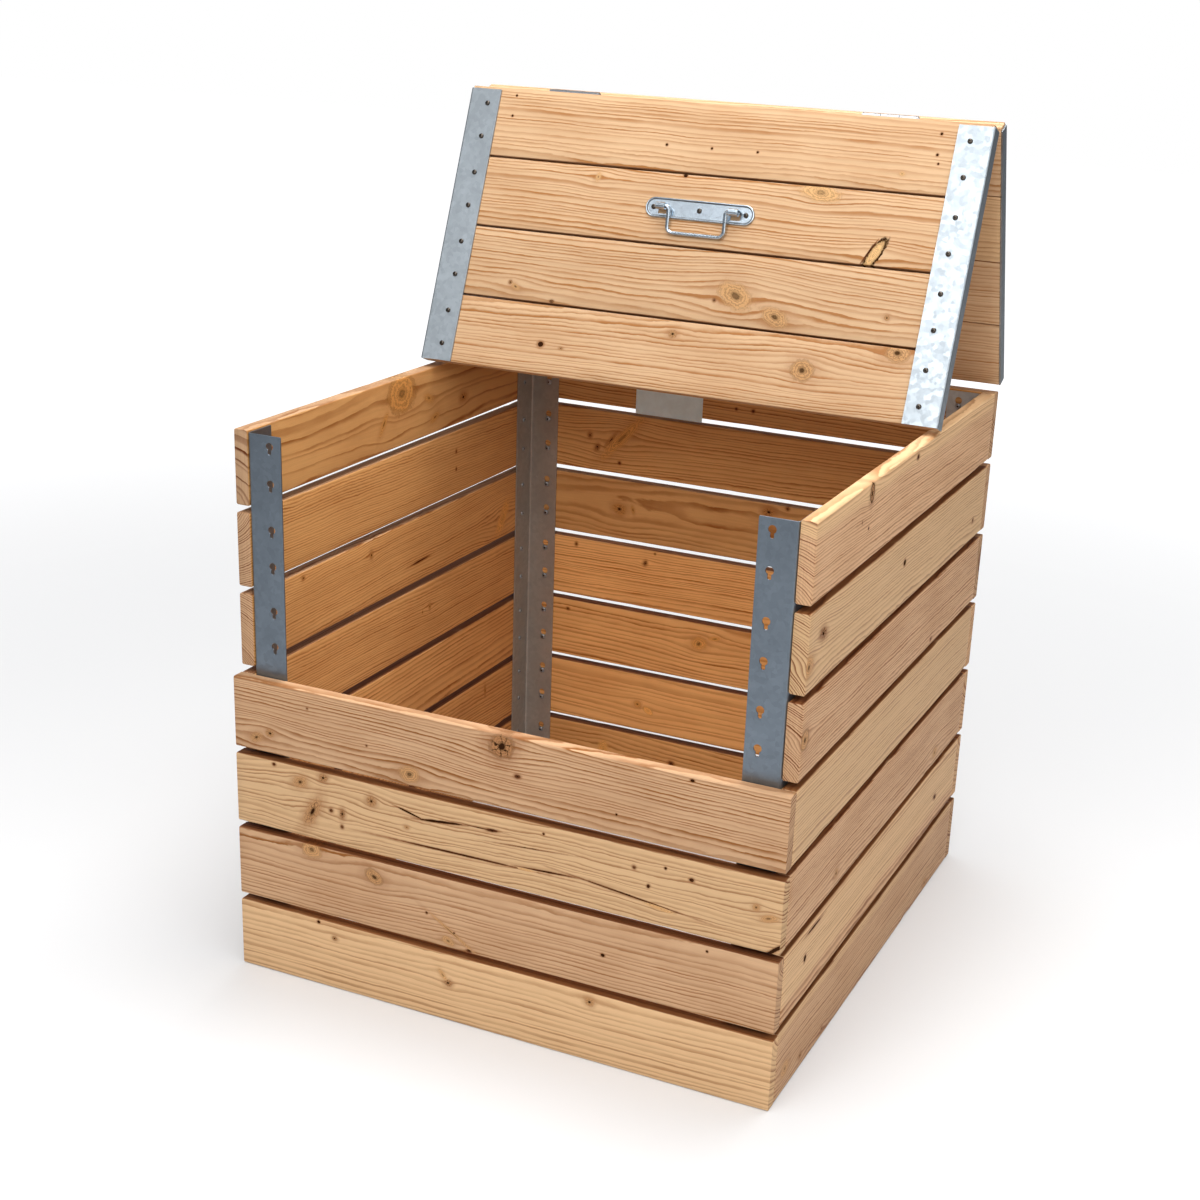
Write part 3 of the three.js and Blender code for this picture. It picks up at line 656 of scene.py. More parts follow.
def rounded_section(thickness, width, ease, steps, face_steps):
    """A board's section in Y and Z, with rounded corners and points along its wide faces."""
    y, z = thickness / 2 - ease, width / 2 - ease
    points = []
    for cy, cz, start in ((-y, -z, 180), (y, -z, 270), (y, z, 0), (-y, z, 90)):
        points += arc((cy, cz), ease, start, start + 90, steps)
        if (cy > 0) == (cz < 0):
            far = z if cz < 0 else -z
            face_y = math.copysign(thickness / 2, cy)
            points += [(face_y, cz + (far - cz) * i / face_steps) for i in range(1, face_steps)]
    return points


def board(name, length, thickness, width, ease, seed, finish, dents=4):
    """A planed board along X, its face towards -Y. Its edges waver a little, with dents."""
    chance = random.Random(seed)
    section = rounded_section(thickness, width, ease, 4, 6)
    half = length / 2
    ends = [(0.0, 0.9 * MM), (0.25 * MM, 0.35 * MM), (0.9 * MM, 0.0)]
    inner = [half * (i / 26 - 1) for i in range(1, 52)]
    stations = [(-half + a, inset) for a, inset in ends]
    stations += [(x, 0.0) for x in inner]
    stations += [(half - a, inset) for a, inset in reversed(ends)]
    knocks = [
        (
            chance.uniform(-half, half),
            chance.choice((-1, 1)),
            chance.choice((-1, 1)),
            chance.uniform(5, 16) * MM,
            chance.uniform(0.3, 0.9) * MM,
        )
        for _ in range(dents)
    ]
    verts = []
    for x, inset in stations:
        for y, z in section:
            cy = math.copysign(max(abs(y) - inset, 0), y)
            cz = math.copysign(max(abs(z) - inset, 0), z)
            from_edge = math.hypot(thickness / 2 - abs(y), width / 2 - abs(z))
            edge = max(0.0, 1 - from_edge / (2.2 * ease))
            waver = 0.5 + 0.5 * noise.noise(Vector((x * 22, y * 60 + seed, z * 25)))
            pull = edge * 0.35 * MM * waver
            for at, side_y, side_z, reach, depth in knocks:
                if y * side_y > 0 and z * side_z > 0:
                    pull += edge * depth * math.exp(-(((x - at) / reach) ** 2))
            verts.append((x, cy - math.copysign(pull, y), cz - math.copysign(pull, z)))
    n, rows = len(section), len(stations)
    faces = [
        (i * n + j, i * n + (j + 1) % n, (i + 1) * n + (j + 1) % n, (i + 1) * n + j)
        for i in range(rows - 1)
        for j in range(n)
    ]
    faces += [tuple(reversed(range(n))), tuple(range((rows - 1) * n, rows * n))]
    return object_from(name, verts, faces, finish)


def inset_loop(loop, depth):
    """A closed loop of points drawn inwards by a depth."""
    moved = []
    for i, point in enumerate(loop):
        before, after = Vector(loop[i - 1]), Vector(loop[(i + 1) % len(loop)])
        here = Vector(point)
        a, b = (here - before).normalized(), (after - here).normalized()
        normal = Vector((-(a.y + b.y), a.x + b.x))
        if normal.length < 1e-9:
            normal = Vector((-a.y, a.x))
        normal.normalize()
        miter = max(0.4, normal.dot(Vector((-a.y, a.x))))
        moved.append(tuple(here + normal * depth / miter))
    return moved


def bar_mesh(outline, start, end, soften):
    """A solid bar along X with a closed outline in Y and Z and softened ends."""
    inner = inset_loop(outline, soften)
    rows = [(start, inner), (start + soften, outline), (end - soften, outline), (end, inner)]
    verts = [(x, y, z) for x, loop in rows for y, z in loop]
    n = len(outline)
    faces = [
        (i * n + (j + 1) % n, i * n + j, (i + 1) * n + j, (i + 1) * n + (j + 1) % n)
        for i in range(3)
        for j in range(n)
    ]
    faces += [tuple(range(n)), tuple(reversed(range(3 * n, 4 * n)))]
    return verts, [tuple(reversed(f)) for f in faces]


def ribbon(path, thickness):
    """The closed outline of a strip of even thickness that follows a path."""
    left, right = [], []
    for i, point in enumerate(path):
        here = Vector(point)
        before = here - Vector(path[i - 1]) if i else Vector(path[1]) - here
        after = Vector(path[i + 1]) - here if i < len(path) - 1 else before
        along = (before.normalized() + after.normalized()).normalized()
        side = Vector((-along.y, along.x))
        reach = thickness / 2 / max(0.5, along.dot(after.normalized()))
        left.append(tuple(here + side * reach))
        right.append(tuple(here - side * reach))
    return right + left[::-1]


def gather(parts):
    """Joins lists of vertices and faces, each with its own placing matrix."""
    verts, faces = [], []
    for part_verts, part_faces, place in parts:
        base = len(verts)
        verts += [tuple(place @ Vector(v)) for v in part_verts]
        faces += [tuple(base + i for i in face) for face in part_faces]
    return verts, faces


def turned_profile(profile, sides):
    """Rings of a round piece about Z. A ring is radius, height and depth of its lobes."""
    verts, faces = [], []
    for radius, height, lobes in profile:
        for k in range(sides):
            turn = 2 * math.pi * k / sides
            r = radius * (1 + lobes * math.cos(6 * turn))
            verts.append((r * math.cos(turn), r * math.sin(turn), height))
    for i in range(len(profile) - 1):
        for k in range(sides):
            a, b = i * sides + k, i * sides + (k + 1) % sides
            faces.append((a, b, b + sides, a + sides))
    faces.append(tuple(reversed(range(sides))))
    last = (len(profile) - 1) * sides
    faces.append(tuple(range(last, last + sides)))
    return verts, [tuple(reversed(f)) for f in faces]


SCREW_SIDES = 24
DRIVE_RINGS = 3


def pan_screw(head, height, shank, reach):
    """A round-head screw that points along -Z, with a six-lobed drive in its head. Its
    first rings are the drive."""
    drive = 0.42 * head
    return turned_profile(
        [
            (drive * 0.55, height * 0.35, 0.16),
            (drive * 0.62, height * 0.38, 0.16),
            (drive * 0.66, height * 0.93, 0.16),
            (drive * 0.74, height, 0.1),
            (head * 0.62, height * 0.95, 0),
            (head * 0.82, height * 0.78, 0),
            (head * 0.95, height * 0.48, 0),
            (head, height * 0.2, 0),
            (head * 0.985, 0, 0),
            (shank, -0.02 * height, 0),
            (shank, -reach, 0),
            (shank * 0.2, -reach - shank, 0),
        ],
        SCREW_SIDES,
    )


def small_screw(reach):
    """The small screw of side boards, strips and handle."""
    return pan_screw(3.75 * MM, 2.3 * MM, 1.8 * MM, reach)


def deep_in_drive(mesh, per_screw):
    """Marks the points down in each screw's drive, where painted shade darkens the plating."""
    depth = mesh.attributes.new("recess_shade", "FLOAT", "POINT")
    for i, item in enumerate(depth.data):
        item.value = 1.0 if i % per_screw < DRIVE_RINGS * SCREW_SIDES else 0.0


def facing(direction):
    """Turns +Z to look along a direction."""
    return Vector(direction).to_track_quat("Z", "Y").to_matrix().to_4x4()


def screws(name, points, direction, pattern, body, slot, place=None, finish=None):
    """All screws of one kind on one body, each a little turned in its own way."""
    chance = random.Random(name)
    parts = []
    for point in points:
        spin = Matrix.Rotation(chance.uniform(0, math.pi), 4, "Z")
        parts.append((*pattern, Matrix.Translation(point) @ facing(direction) @ spin))
    verts, faces = gather(parts)
    made = object_from(name, verts, faces, finish or finish_of("Dull plating", dull_plating))
    deep_in_drive(made.data, len(pattern[0]))
    return settle(made, place or Matrix.Identity(4), body, slot)


# Counts of boards
WALL_ROWS = 7
FRONT_ROWS = 4
LID_ROWS = 4
# Small gaps: between boards and what they carry, between a post and the front or rear
# wall, and between the shut lid and the walls
SEAT = 0.3 * MM
POST_RUN = 0.4 * MM
LID_CLEARANCE = 1 * MM
# From the middle of a board's edge to each of its two screws
SCREW_STEP = 24.5 * MM


def at(x, y, z):
    """A point of the layout, in the frame."""
    return Vector((x, y + FRONT_Y, z))


def layout():
    """The sizes that follow from the bin's own."""
    s = sizes()
    pitch = s.board_height + s.board_gap
    depth = s.board_length + 2 * (s.board_thickness + SEAT)
    height = WALL_ROWS * pitch - s.board_gap
    return {
        "pitch": pitch,
        "depth": depth,
        "height": height,
        "inner": s.board_length / 2 - s.board_thickness,
        "post_face": s.board_length / 2 - s.board_thickness - SEAT,
        "post_front": s.board_thickness + POST_RUN,
        "post_rear": depth - s.board_thickness - POST_RUN,
        "rear_start": depth - LID_ROWS * s.board_height - (LID_ROWS - 1) * s.rear_seam,
        "lid_under": height + LID_CLEARANCE,
        "lid_top": height + LID_CLEARANCE + s.board_thickness,
    }


def screw_heights():
    """How high a board's two screws stand above its lower edge."""
    middle = sizes().board_height / 2
    return middle - SCREW_STEP, middle + SCREW_STEP


def rear_pin():
    """The middle of the rear hinges' line, with the lid shut."""
    w = layout()
    return at(0, w["depth"] + SEAT + 4 * MM, w["lid_under"] + 7 * MM)


def middle_pin():
    """The middle of the line of the hinges between the lid's halves, with the lid shut."""
    w = layout()
    return at(0, w["rear_start"] - sizes().lid_gap / 2, w["lid_under"] - SEAT - 6 * MM)


def turned_about(pin, angle):
    """A turn about a pin that lies along X."""
    return Matrix.Translation(pin) @ Matrix.Rotation(angle, 4, "X") @ Matrix.Translation(-pin)


def lid_places():
    """How each lid half is folded from the shut layout to the tent."""
    fold_angle = math.radians(90) - sizes().lid_lean
    rear = turned_about(rear_pin(), -fold_angle)
    return {"rear": rear, "front": rear @ turned_about(middle_pin(), 2 * fold_angle)}


def figure(depth, across, ring, wave=3.0, tone=1.0, sap=999.0, knots=()):
    """One board's figure in millimetres: the trunk's heart behind the face and across it, the
    width of a ring, how far rings wander, the tone, where the sapwood starts, and the knots.
    On some boards the tone also paints in light that the lamps don't give.
    A knot is its place along and across, radius, stretch, lean, darkness and outline."""
    return {
        "depth": depth,
        "across": across,
        "ring": ring,
        "wave": wave,
        "tone": tone,
        "sap": sap,
        "knots": list(knots),
    }


FIGURES = {
    "lid_front_board_4": figure(28, -62, 5.2, 2.5, 1.02, knots=[
        (-319.5, 39.5, 1.5, 1, 0, 2, 1), (-320.5, 9.5, 1.5, 1, 0, 2, 1),
        (-69, -13.5, 1.6, 1, 0, 2, 1), (0, -13.5, 1.6, 1, 0, 2, 1),
        (68.5, -13.5, 1.6, 1, 0, 2, 1), (323, 32, 1.7, 1, 0, 2, 1), (322.5, 3.5, 1.7, 1, 0, 2, 1),
        (326, -8.5, 1.3, 1, 0, 2, 1), (279, -26, 3, 1.4, 0, 0.3, 0),
    ]),
    "lid_front_board_3": figure(60, -130, 5.0, 3.0, knots=[
        (-165, 35, 4.5, 1.6, 80, 0.35, 0), (171, 42, 13, 2.2, -8, 0.3, 0.25),
        (-31.5, 48, 2.2, 1.3, 0, 2, 1), (262, -35, 8.5, 3.2, 62, 0, 1),
        (254.5, -32, 1.5, 12, 62, 1.7, 0),
    ]),
    "lid_front_board_2": figure(26, -56, 4.8, 2.5, 0.94, knots=[
        (76, -9, 17, 1.7, -28, 0.5, 0.3), (139, -32, 12, 1.9, -20, 0.55, 0.3),
        (-272.5, -26.5, 3, 1, 0, 1, 0.6), (-263, -32, 4, 2, -30, 0.5, 0),
        (46.5, -18, 3, 1, 0, 1.2, 0.3), (296.5, -15, 4, 1, 0, 0.8, 0.4),
        (-201, -47, 2, 1.5, 0, 1.2, 1),
    ]),
    "lid_front_board_1": figure(30, 58, 4.4, 2.5, 0.99, knots=[
        (-5.5, 31, 6, 1.1, 0, 0.8, 0.3), (-205.5, -7.5, 3.8, 1, 0, 2, 1),
        (-172.5, -9.5, 2, 1.8, 0, 0.9, 0), (192.5, 3.5, 15, 1.15, -20, 0.62, 0.45),
        (320, 43, 13, 1.3, 0, 0.65, 0.4),
    ]),
    "front_board_4": figure(22, -54, 4.0, 2.5, 0.98, knots=[
        (10, 34, 16, 1.15, 35, 1.0, 0.5), (32.5, -2, 2.6, 1.6, 0, 1.5, 0.5),
        (-123.5, -33.5, 12, 1.3, 0, 0.5, 0.3), (-336.5, -21, 6, 1.2, 0, 0.7, 0.2),
        (-358.5, -31, 7, 1.6, 30, 0.6, 0), (267.5, 44.5, 1.6, 1.5, 0, 2, 1),
        (170, -22.5, 1.3, 1, 0, 2, 1), (-187.5, -7, 1.5, 1, 0, 1.2, 0),
        (-277.5, 26.5, 1.5, 1, 0, 1.2, 0),
    ]),
    "front_board_3": figure(12, 66, 5.6, 5.5, 1.02, 0, knots=[
        (-291, 28.5, 9, 1.3, 25, 0.6, 0), (-255, 42.5, 6, 1.1, 0, 0.8, 0.4),
        (-332, 45.5, 2, 1.2, 0, 1.6, 0.5), (-181, 25.5, 7, 1, 0, 0.75, 0.3),
        (-272.5, -10, 9, 2.8, 62, 0.75, 0), (-243.5, -2, 3, 1, 0, 1.4, 0.5),
        (-226, -3, 4, 1.7, 90, 1, 0.3), (-226.5, -22, 2.4, 1, 0, 1.3, 0.4),
        (-123, 22, 1.1, 15, -14, 2, 1), (-77, 20, 1.5, 20, 6, 2, 1),
        (-18, 25, 0.7, 36, 1, 1.4, 0.6), (-2, 25.5, 2, 4, 3, 1.7, 0.7),
        (-127.5, 0.5, 3, 1.3, 0, 0.6, 0), (-50, -19.5, 1.3, 70, 0.8, 1.7, 0.2),
        (75, -14, 1.2, 30, 3, 1.7, 0.2), (190, -18, 1.2, 58, -6, 1.5, 0.2),
        (47.5, -18, 2, 6, 0, 0, 0), (232, -25, 3, 7, -8, 0, 0.2), (50, 13, 1, 46, 4, 1, 0.2),
        (71, 38, 1.4, 1, 0, 1.6, 1), (196.5, 22, 2.4, 1, 0, 1.3, 0.5),
        (238.5, 31, 1.6, 1, 0, 1.8, 1), (216.5, 1, 2, 1.2, 60, 1.8, 1),
        (273.5, 23.5, 2.2, 1.3, 0, 1.8, 1), (358.5, 8, 5, 1, 0, 0.55, 0.2),
        (375, -3, 5, 2.4, 15, 0.45, 0.1), (386, -43, 2, 6, 40, 2, 1),
    ]),
    "front_board_2": figure(26, 54, 5.0, 2.5, 1.0, knots=[
        (-275, 43, 13, 1.2, 0, 0.45, 0.4), (-177.5, 26, 10, 1.5, -28, 0.6, 0.5),
        (-60, -26, 2.6, 16, -32, 0.45, 0), (-97.5, -6.5, 2, 1, 0, 1.5, 0.5),
        (-56.5, -26.5, 2, 1, 0, 1.5, 0.5), (-65, -40, 6, 1.7, -20, 0.4, 0.3),
        (-33.5, -46.5, 2.4, 1.4, 0, 1.5, 0.5), (158.5, -1, 2, 1.2, 0, 2, 1),
        (299, 42, 1.4, 1, 0, 2, 1),
    ]),
    # Its tone makes the lowest front board paler, as painted light thrown up by the floor
    "front_board_1": figure(30, 70, 6.4, 2.5, 1.17, 0, knots=[
        (-266.5, 46, 2, 1.2, 0, 2, 1), (-241.5, 27, 3.4, 1.2, 0, 0.9, 0.4),
        (-65, 7, 5, 1.1, 0, 0.9, 0.3), (-73, 17, 4, 2.6, -50, 0.35, 0),
        (142.5, 36.5, 6, 1.1, 0, 0.7, 0.25),
    ]),
    "side_board_right_7": figure(30, -70, 3.4, 2.5, 1.2, 108, knots=[
        (-191, 36, 7.5, 1.6, 90, 1.0, 0.9), (1.6, 39, 3.4, 1.4, 0, 1.5, 0.5),
        (-222.5, 6.5, 1.7, 1, 0, 1.2, 0), (-194.5, -7.5, 1.9, 1.2, 0, 1.6, 0.4),
    ]),
    "side_board_right_6": figure(40, -66, 3.6, 2.5, 1.05, 0, knots=[
        (-340.5, 12, 7, 1.7, -15, 1.1, 0.3), (-16, 10.5, 4, 1, 0, 2, 1),
        (336, -19.5, 3.4, 1.3, 0, 1.2, 0.2), (-385, -16, 13, 1.2, 0, 0.5, 0.1),
    ]),
    "side_board_right_5": figure(60, -90, 3.1, 2.5, 1.08, knots=[
        (-379, 1, 13, 1, 0, 0.6, 0.6), (160, -41, 3, 1.4, 0, 1.2, 0.2),
    ]),
    "side_board_right_4": figure(60, -96, 3.6, 2.5, 1.03, 0),
    "side_board_right_3": figure(70, -84, 3.1, 2.5, 1.05, knots=[
        (-206.5, -30, 7, 1.2, 0, 0.6, 0.1), (250.5, -31, 8, 1.3, 0, 0.45, 0),
    ]),
    "side_board_right_2": figure(25, -60, 4.6, 3.0, 1.1, 50, knots=[
        (-283, 39, 1.8, 14, 0, 1.8, 0.6), (-310.5, 7, 3.6, 1.2, 90, 2, 1),
        (279.5, -5.5, 3.6, 1.8, -12, 1.5, 0.4),
    ]),
    "side_board_right_1": figure(60, -70, 3.1, 2.5, 1.0, 129, knots=[
        (-357.5, -18, 11, 1.3, 0, 0.35, 0), (-298.5, -32, 5, 1.2, 0, 0.8, 0.1),
        (-212, -39, 4, 1, 0, 0.8, 0.1), (271, -39, 8, 1.4, 0, 0.5, 0),
    ]),
    "side_board_left_7": figure(-34, -70, 11, 5, 0.85, knots=[
        (14.5, 27, 29, 1.25, 0, 0.35, 0.5), (14.5, 28, 3, 2.2, 95, 0.9, 0.1),
        (64, -8, 6, 3.2, 125, 0.42, 0.1), (-62, 6, 7, 2, 20, 0.4, 0),
        (-80, -26, 6, 2.4, 160, 0.42, 0), (-165.5, -11.5, 7, 1.4, 0, 0.8, 0.2),
    ]),
    "side_board_left_6": figure(-50, 80, 3.0, 2.5, 0.96, knots=[
        (-145, 17.5, 2.6, 1.3, 90, 1.2, 0.2), (-145, -10.5, 2.2, 1.3, 90, 1.4, 0.2),
    ]),
    "side_board_left_5": figure(-50, -90, 3.1, 2.5, knots=[
        (101, 26.5, 4, 1.4, 90, 0.8, 0.3), (-36, -19, 1.4, 17, 178, 1.6, 0.4),
        (-300, -16, 13, 2.6, 126, 0.08, 0), (274, 40, 3, 1.4, 0, 1, 0.2),
    ]),
    "side_board_left_4": figure(-40, 75, 3.2, 2.5, knots=[
        (-65.5, 9.5, 3.4, 1.5, 90, 0.7, 0.2), (-43.5, 6.5, 1.7, 1, 0, 1, 0),
    ]),
    "side_board_left_3": figure(-60, -62, 5, 2.5, 1.05),
    "side_board_left_2": figure(-40, 70, 4.2, 2.5, knots=[(-247, 28, 2.6, 3.4, 88, 0.7, 0)]),
    "rear_board_7": figure(-40, 62, 5, 2.5, knots=[
        (12.5, -26.5, 2, 1, 0, 1.5, 0.5), (-16, -26.5, 2.4, 1, 0, 1.5, 0.5),
    ]),
    "rear_board_6": figure(-30, -72, 4.6, 2.5, 1.06, knots=[
        (206, 10, 9, 5.6, 133, 0.35, 0), (226, 4, 3, 5, 128, 0.8, 0),
        (250, -10.5, 4, 1.4, 120, 1.1, 0.1), (264, 7, 3.4, 1.3, 90, 1, 0.1),
        (209.5, -32, 2.6, 1, 0, 1.5, 0.4),
    ]),
    "rear_board_5": figure(-18, 12, 7, 6, 0.94, knots=[
        (206.5, 1, 9, 1.3, 0, 0.7, 0.1), (182, 3, 3, 2.4, 75, 0.5, 0),
        (-52.5, 36, 7, 1.4, 0, 0.8, 0.2), (-84, 46, 3, 1, 0, 1.2, 0.3),
    ]),
    # Rear boards 4, 3 and 2 are made paler by their tone, as painted light reaching into the bin
    "rear_board_4": figure(-40, -76, 3.7, 2.5, 1.3, knots=[
        (282.5, 39, 2.6, 1.2, 90, 1.2, 0.3), (156, 26.5, 3.6, 1.3, 120, 1.2, 0.3),
        (139.5, 45, 1.6, 1, 0, 1.2, 0.2),
    ]),
    "rear_board_3": figure(-30, 60, 6, 2.5, 1.2, knots=[
        (295, 33, 2.2, 1.2, 0, 1.3, 0.3), (54, 14, 11, 1.3, 150, 0.45, 0.25),
        (26, 28, 4, 3, 168, 0.4, 0), (53, 16, 2.8, 1.6, 130, 1.3, 0.2),
    ]),
    "rear_board_2": figure(-20, 58, 8, 2.5, 1.2, knots=[
        (159.5, -4, 6, 1.2, 20, 0.55, 0.3), (140, -12, 6, 1.6, 30, 0.1, 0.4),
    ]),
    "rear_board_1": figure(-40, 80, 5, 2.5, knots=[
        (92.5, 11, 4, 1.2, 0, 1.4, 0.3), (220, 14, 9, 1.5, 100, 0.05, 0),
    ]),
}


def figure_of(name, seed):
    """The figure of a board, as listed or drawn from the seed, with the seed of its noise."""
    chance = random.Random(f"{name} {seed}")
    drawn = figure(
        chance.choice((-1, 1)) * chance.uniform(30, 70),
        chance.choice((-1, 1)) * chance.uniform(52, 90),
        chance.uniform(3.4, 5.2),
        2.5,
        chance.uniform(0.95, 1.04),
        chance.choice((999, 999, 110, 0)),
        [
            (
                chance.uniform(-330, 330),
                chance.uniform(-38, 38),
                chance.uniform(2, 9),
                chance.uniform(1, 1.6),
                chance.uniform(-40, 40),
                chance.uniform(0.3, 1.2),
                chance.uniform(0, 0.5),
            )
            for _ in range(chance.choice((1, 2, 2, 3)))
        ],
    )
    return FIGURES.get(name, drawn) | {"seed": chance.uniform(0, 60)}


# How much painted shade darkens the board edges at each gap of a wall, from the lowest gap up
GAP_SHADE = {
    "left": (1, 1, 1, 0.8, 0.35, 0.25),
    "right": (1, 1, 1, 1, 1, 1),
    "rear": (1, 1, 1, 0.8, 0.35, 0.25),
    "front": (1, 1, 1),
    "lid": (0.4, 0.4, 0.4),
}


def gap_shade_beside(wall, row):
    """The painted shade on a board's lower and upper edge. An edge without a neighbour gets none.
    """
    gaps = (0, *GAP_SHADE[wall], 0)
    return gaps[row], gaps[row + 1]


def board_of_wood(node, place, body, slot, ease, woods, gap_shade):
    """A board with its own figure, in the stead of the frame's board."""
    s = sizes()
    grain = figure_of(node, s.grain_seed)
    wood = softwood(f"Wood of {node}", *woods, s.board_length, grain, gap_shade)
    seed = int(grain["seed"] * 1000)
    size = (s.board_length, s.board_thickness, s.board_height)
    made = board(f"{node}_wood", *size, ease, seed, wood)
    return settle(made, place, body, slot, node)


def wall_board(node, place, body, slot, gap_shade):
    """One board of a wall."""
    f = finishes()
    # The walls' wood gets painted warm bounce light on the side towards the compost
    woods = (f.wall_early, f.wall_late, f.sapwood, f.inside)
    return board_of_wood(node, place, body, slot, sizes().wall_ease, woods, gap_shade)


SIDES = (("left", -1), ("right", 1))
# From a post's outer corner to the middle of its screws and of its keyholes
SIDE_SCREWS_IN = 29 * MM
KEYHOLES_IN = 33 * MM
# Height of a hanging screw's head, which stands clear of the board by as much
HANGING_HEAD = 2.8 * MM


class SideBoards(bpy.types.Operator):
    """Builds the seven boards of the left wall and of the right wall with their screws"""

    bl_idname = "compost_bin.side_boards"
    bl_label = "Side boards"

    def execute(self, context):
        s, w = sizes(), layout()
        for side, sign in SIDES:
            x = sign * (w["inner"] + s.board_thickness / 2)
            turn = Matrix.Rotation(sign * math.pi / 2, 4, "Z")
            for i in range(WALL_ROWS):
                name = f"side_board_{side}_{i + 1}"
                z = i * w["pitch"] + s.board_height / 2
                place = Matrix.Translation(at(x, w["depth"] / 2, z)) @ turn
                wall_board(name, place, "bin", "wall_wood", gap_shade_beside(side, i))
            points = [
                at(sign * (w["post_face"] - s.sheet), y, i * w["pitch"] + h)
                for y in (w["post_front"] + SIDE_SCREWS_IN, w["post_rear"] - SIDE_SCREWS_IN)
                for i in range(WALL_ROWS)
                for h in screw_heights()
            ]
            name = f"side_screws_{side}"
            inwards = (-sign, 0, 0)
            screws(name, points, inwards, small_screw(4 * MM), "bin", "galvanised_sheet")
        return {"FINISHED"}


def hanging_screws(name, y, direction, rows, body):
    """The screws that hang a board in its keyholes."""
    w = layout()
    x = w["post_face"] - KEYHOLES_IN
    points = [
        at(side * x, y, row * w["pitch"] + h)
        for side in (-1, 1)
        for row in rows
        for h in screw_heights()
    ]
    pattern = pan_screw(4.5 * MM, HANGING_HEAD, 2 * MM, 6 * MM)
    return screws(name, points, direction, pattern, body, "galvanised_sheet")


class RearBoards(bpy.types.Operator):
    """Builds the seven boards of the rear wall and the screws that they hang by"""

    bl_idname = "compost_bin.rear_boards"
    bl_label = "Rear boards"

    def execute(self, context):
        s, w = sizes(), layout()
        turn = Matrix.Rotation(math.pi, 4, "Z")
        for i in range(WALL_ROWS):
            name = f"rear_board_{i + 1}"
            z = i * w["pitch"] + s.board_height / 2
            place = Matrix.Translation(at(0, w["depth"] - s.board_thickness / 2, z)) @ turn
            wall_board(name, place, "bin", "inner_wall_wood", gap_shade_beside("rear", i))
        y = w["depth"] - s.board_thickness - HANGING_HEAD
        hanging_screws("rear_hanging_screws", y, (0, -1, 0), range(WALL_ROWS), "bin")
        return {"FINISHED"}


class FrontBoards(bpy.types.Operator):
    """Builds the four front boards, each with the screws that it hangs by"""

    bl_idname = "compost_bin.front_boards"
    bl_label = "Front boards"

    def execute(self, context):
        s, w = sizes(), layout()
        for i in range(FRONT_ROWS):
            name = f"front_board_{i + 1}"
            z = i * w["pitch"] + s.board_height / 2
            place = Matrix.Translation(at(0, s.board_thickness / 2, z))
            wall_board(name, place, name, "wall_wood", gap_shade_beside("front", i))
            y = s.board_thickness + HANGING_HEAD
            hanging_screws(f"{name}_screws", y, (0, 1, 0), [i], name)
        return {"FINISHED"}


# Radii of a keyhole's hole and slot, and how far a hung board comes down in it
HOLE_RADIUS = 5.2 * MM
SLOT_RADIUS = 2.5 * MM
HANG_DROP = 8.5 * MM


def keyhole(x, z):
    """A round hole with a slot below it. The point is where the hung shank rests."""
    shoulder = math.degrees(math.asin(SLOT_RADIUS / HOLE_RADIUS))
    outline = arc((0, HANG_DROP), HOLE_RADIUS, shoulder - 90, 270 - shoulder, 24)
    outline += arc((0, 0), SLOT_RADIUS, 180, 360, 10)
    return [(x + px, z + pz) for px, pz in outline]


def punched_blank(outline, holes, thickness, soften):
    """A flat sheet in X and Y with holes and softened edges, as a mesh."""
    curve = bpy.data.curves.new("blank", "CURVE")
    curve.dimensions = "2D"
    curve.fill_mode = "BOTH"
    curve.extrude = thickness / 2 - soften
    curve.bevel_depth = soften
    curve.bevel_resolution = 1
    curve.offset = -soften
    for loop in [outline, *holes]:
        spline = curve.splines.new("POLY")
        spline.points.add(len(loop) - 1)
        for point, (x, y) in zip(spline.points, loop):
            point.co = (x, y, 0, 1)
        spline.use_cyclic_u = True
    blank = bpy.data.objects.new("blank", curve)
    bpy.context.scene.collection.objects.link(blank)
    bpy.context.view_layer.update()
    seen = blank.evaluated_get(bpy.context.evaluated_depsgraph_get())
    mesh = bpy.data.meshes.new_from_object(seen)
    bpy.data.objects.remove(blank)
    bpy.data.curves.remove(curve)
    return mesh


def fold(mesh, inner_bend, thickness, steps=6):
    """Folds a flat sheet square along X = 0, about a bend of that inner radius.

    Afterwards one flange lies along +X and the other along +Y, with the outer corner at
    the origin and the sheet's length along Z.
    """
    slack = 2e-6
    middle = inner_bend + thickness / 2
    half = math.pi * middle / 4
    sheet = bmesh.new()
    sheet.from_mesh(mesh)
    for i in range(steps + 1):
        across = -half + 2 * half * i / steps
        bmesh.ops.bisect_plane(
            sheet,
            geom=sheet.verts[:] + sheet.edges[:] + sheet.faces[:],
            dist=slack / 2,
            plane_co=(across, 0, 0),
            plane_no=(1, 0, 0),
        )
    bmesh.ops.remove_doubles(sheet, verts=sheet.verts[:], dist=slack)
    outer = inner_bend + thickness
    for v in sheet.verts:
        s, along, out = v.co
        if s >= half:
            a, b = outer + s - half, thickness / 2 - out
        elif s <= -half:
            a, b = thickness / 2 - out, outer - half - s
        else:
            turn = 1.5 * math.pi - (half - s) / middle
            a = outer + (middle + out) * math.cos(turn)
            b = outer + (middle + out) * math.sin(turn)
        v.co = (a, b, along)
    bmesh.ops.recalc_face_normals(sheet, faces=sheet.faces[:])
    sheet.to_mesh(mesh)
    sheet.free()
    return mesh


# From the wall's lower and upper edge to a post's ends, and the post's bend and corners
POST_INSET = 3 * MM
POST_BEND = 3 * MM
POST_CORNER = 1.2 * MM


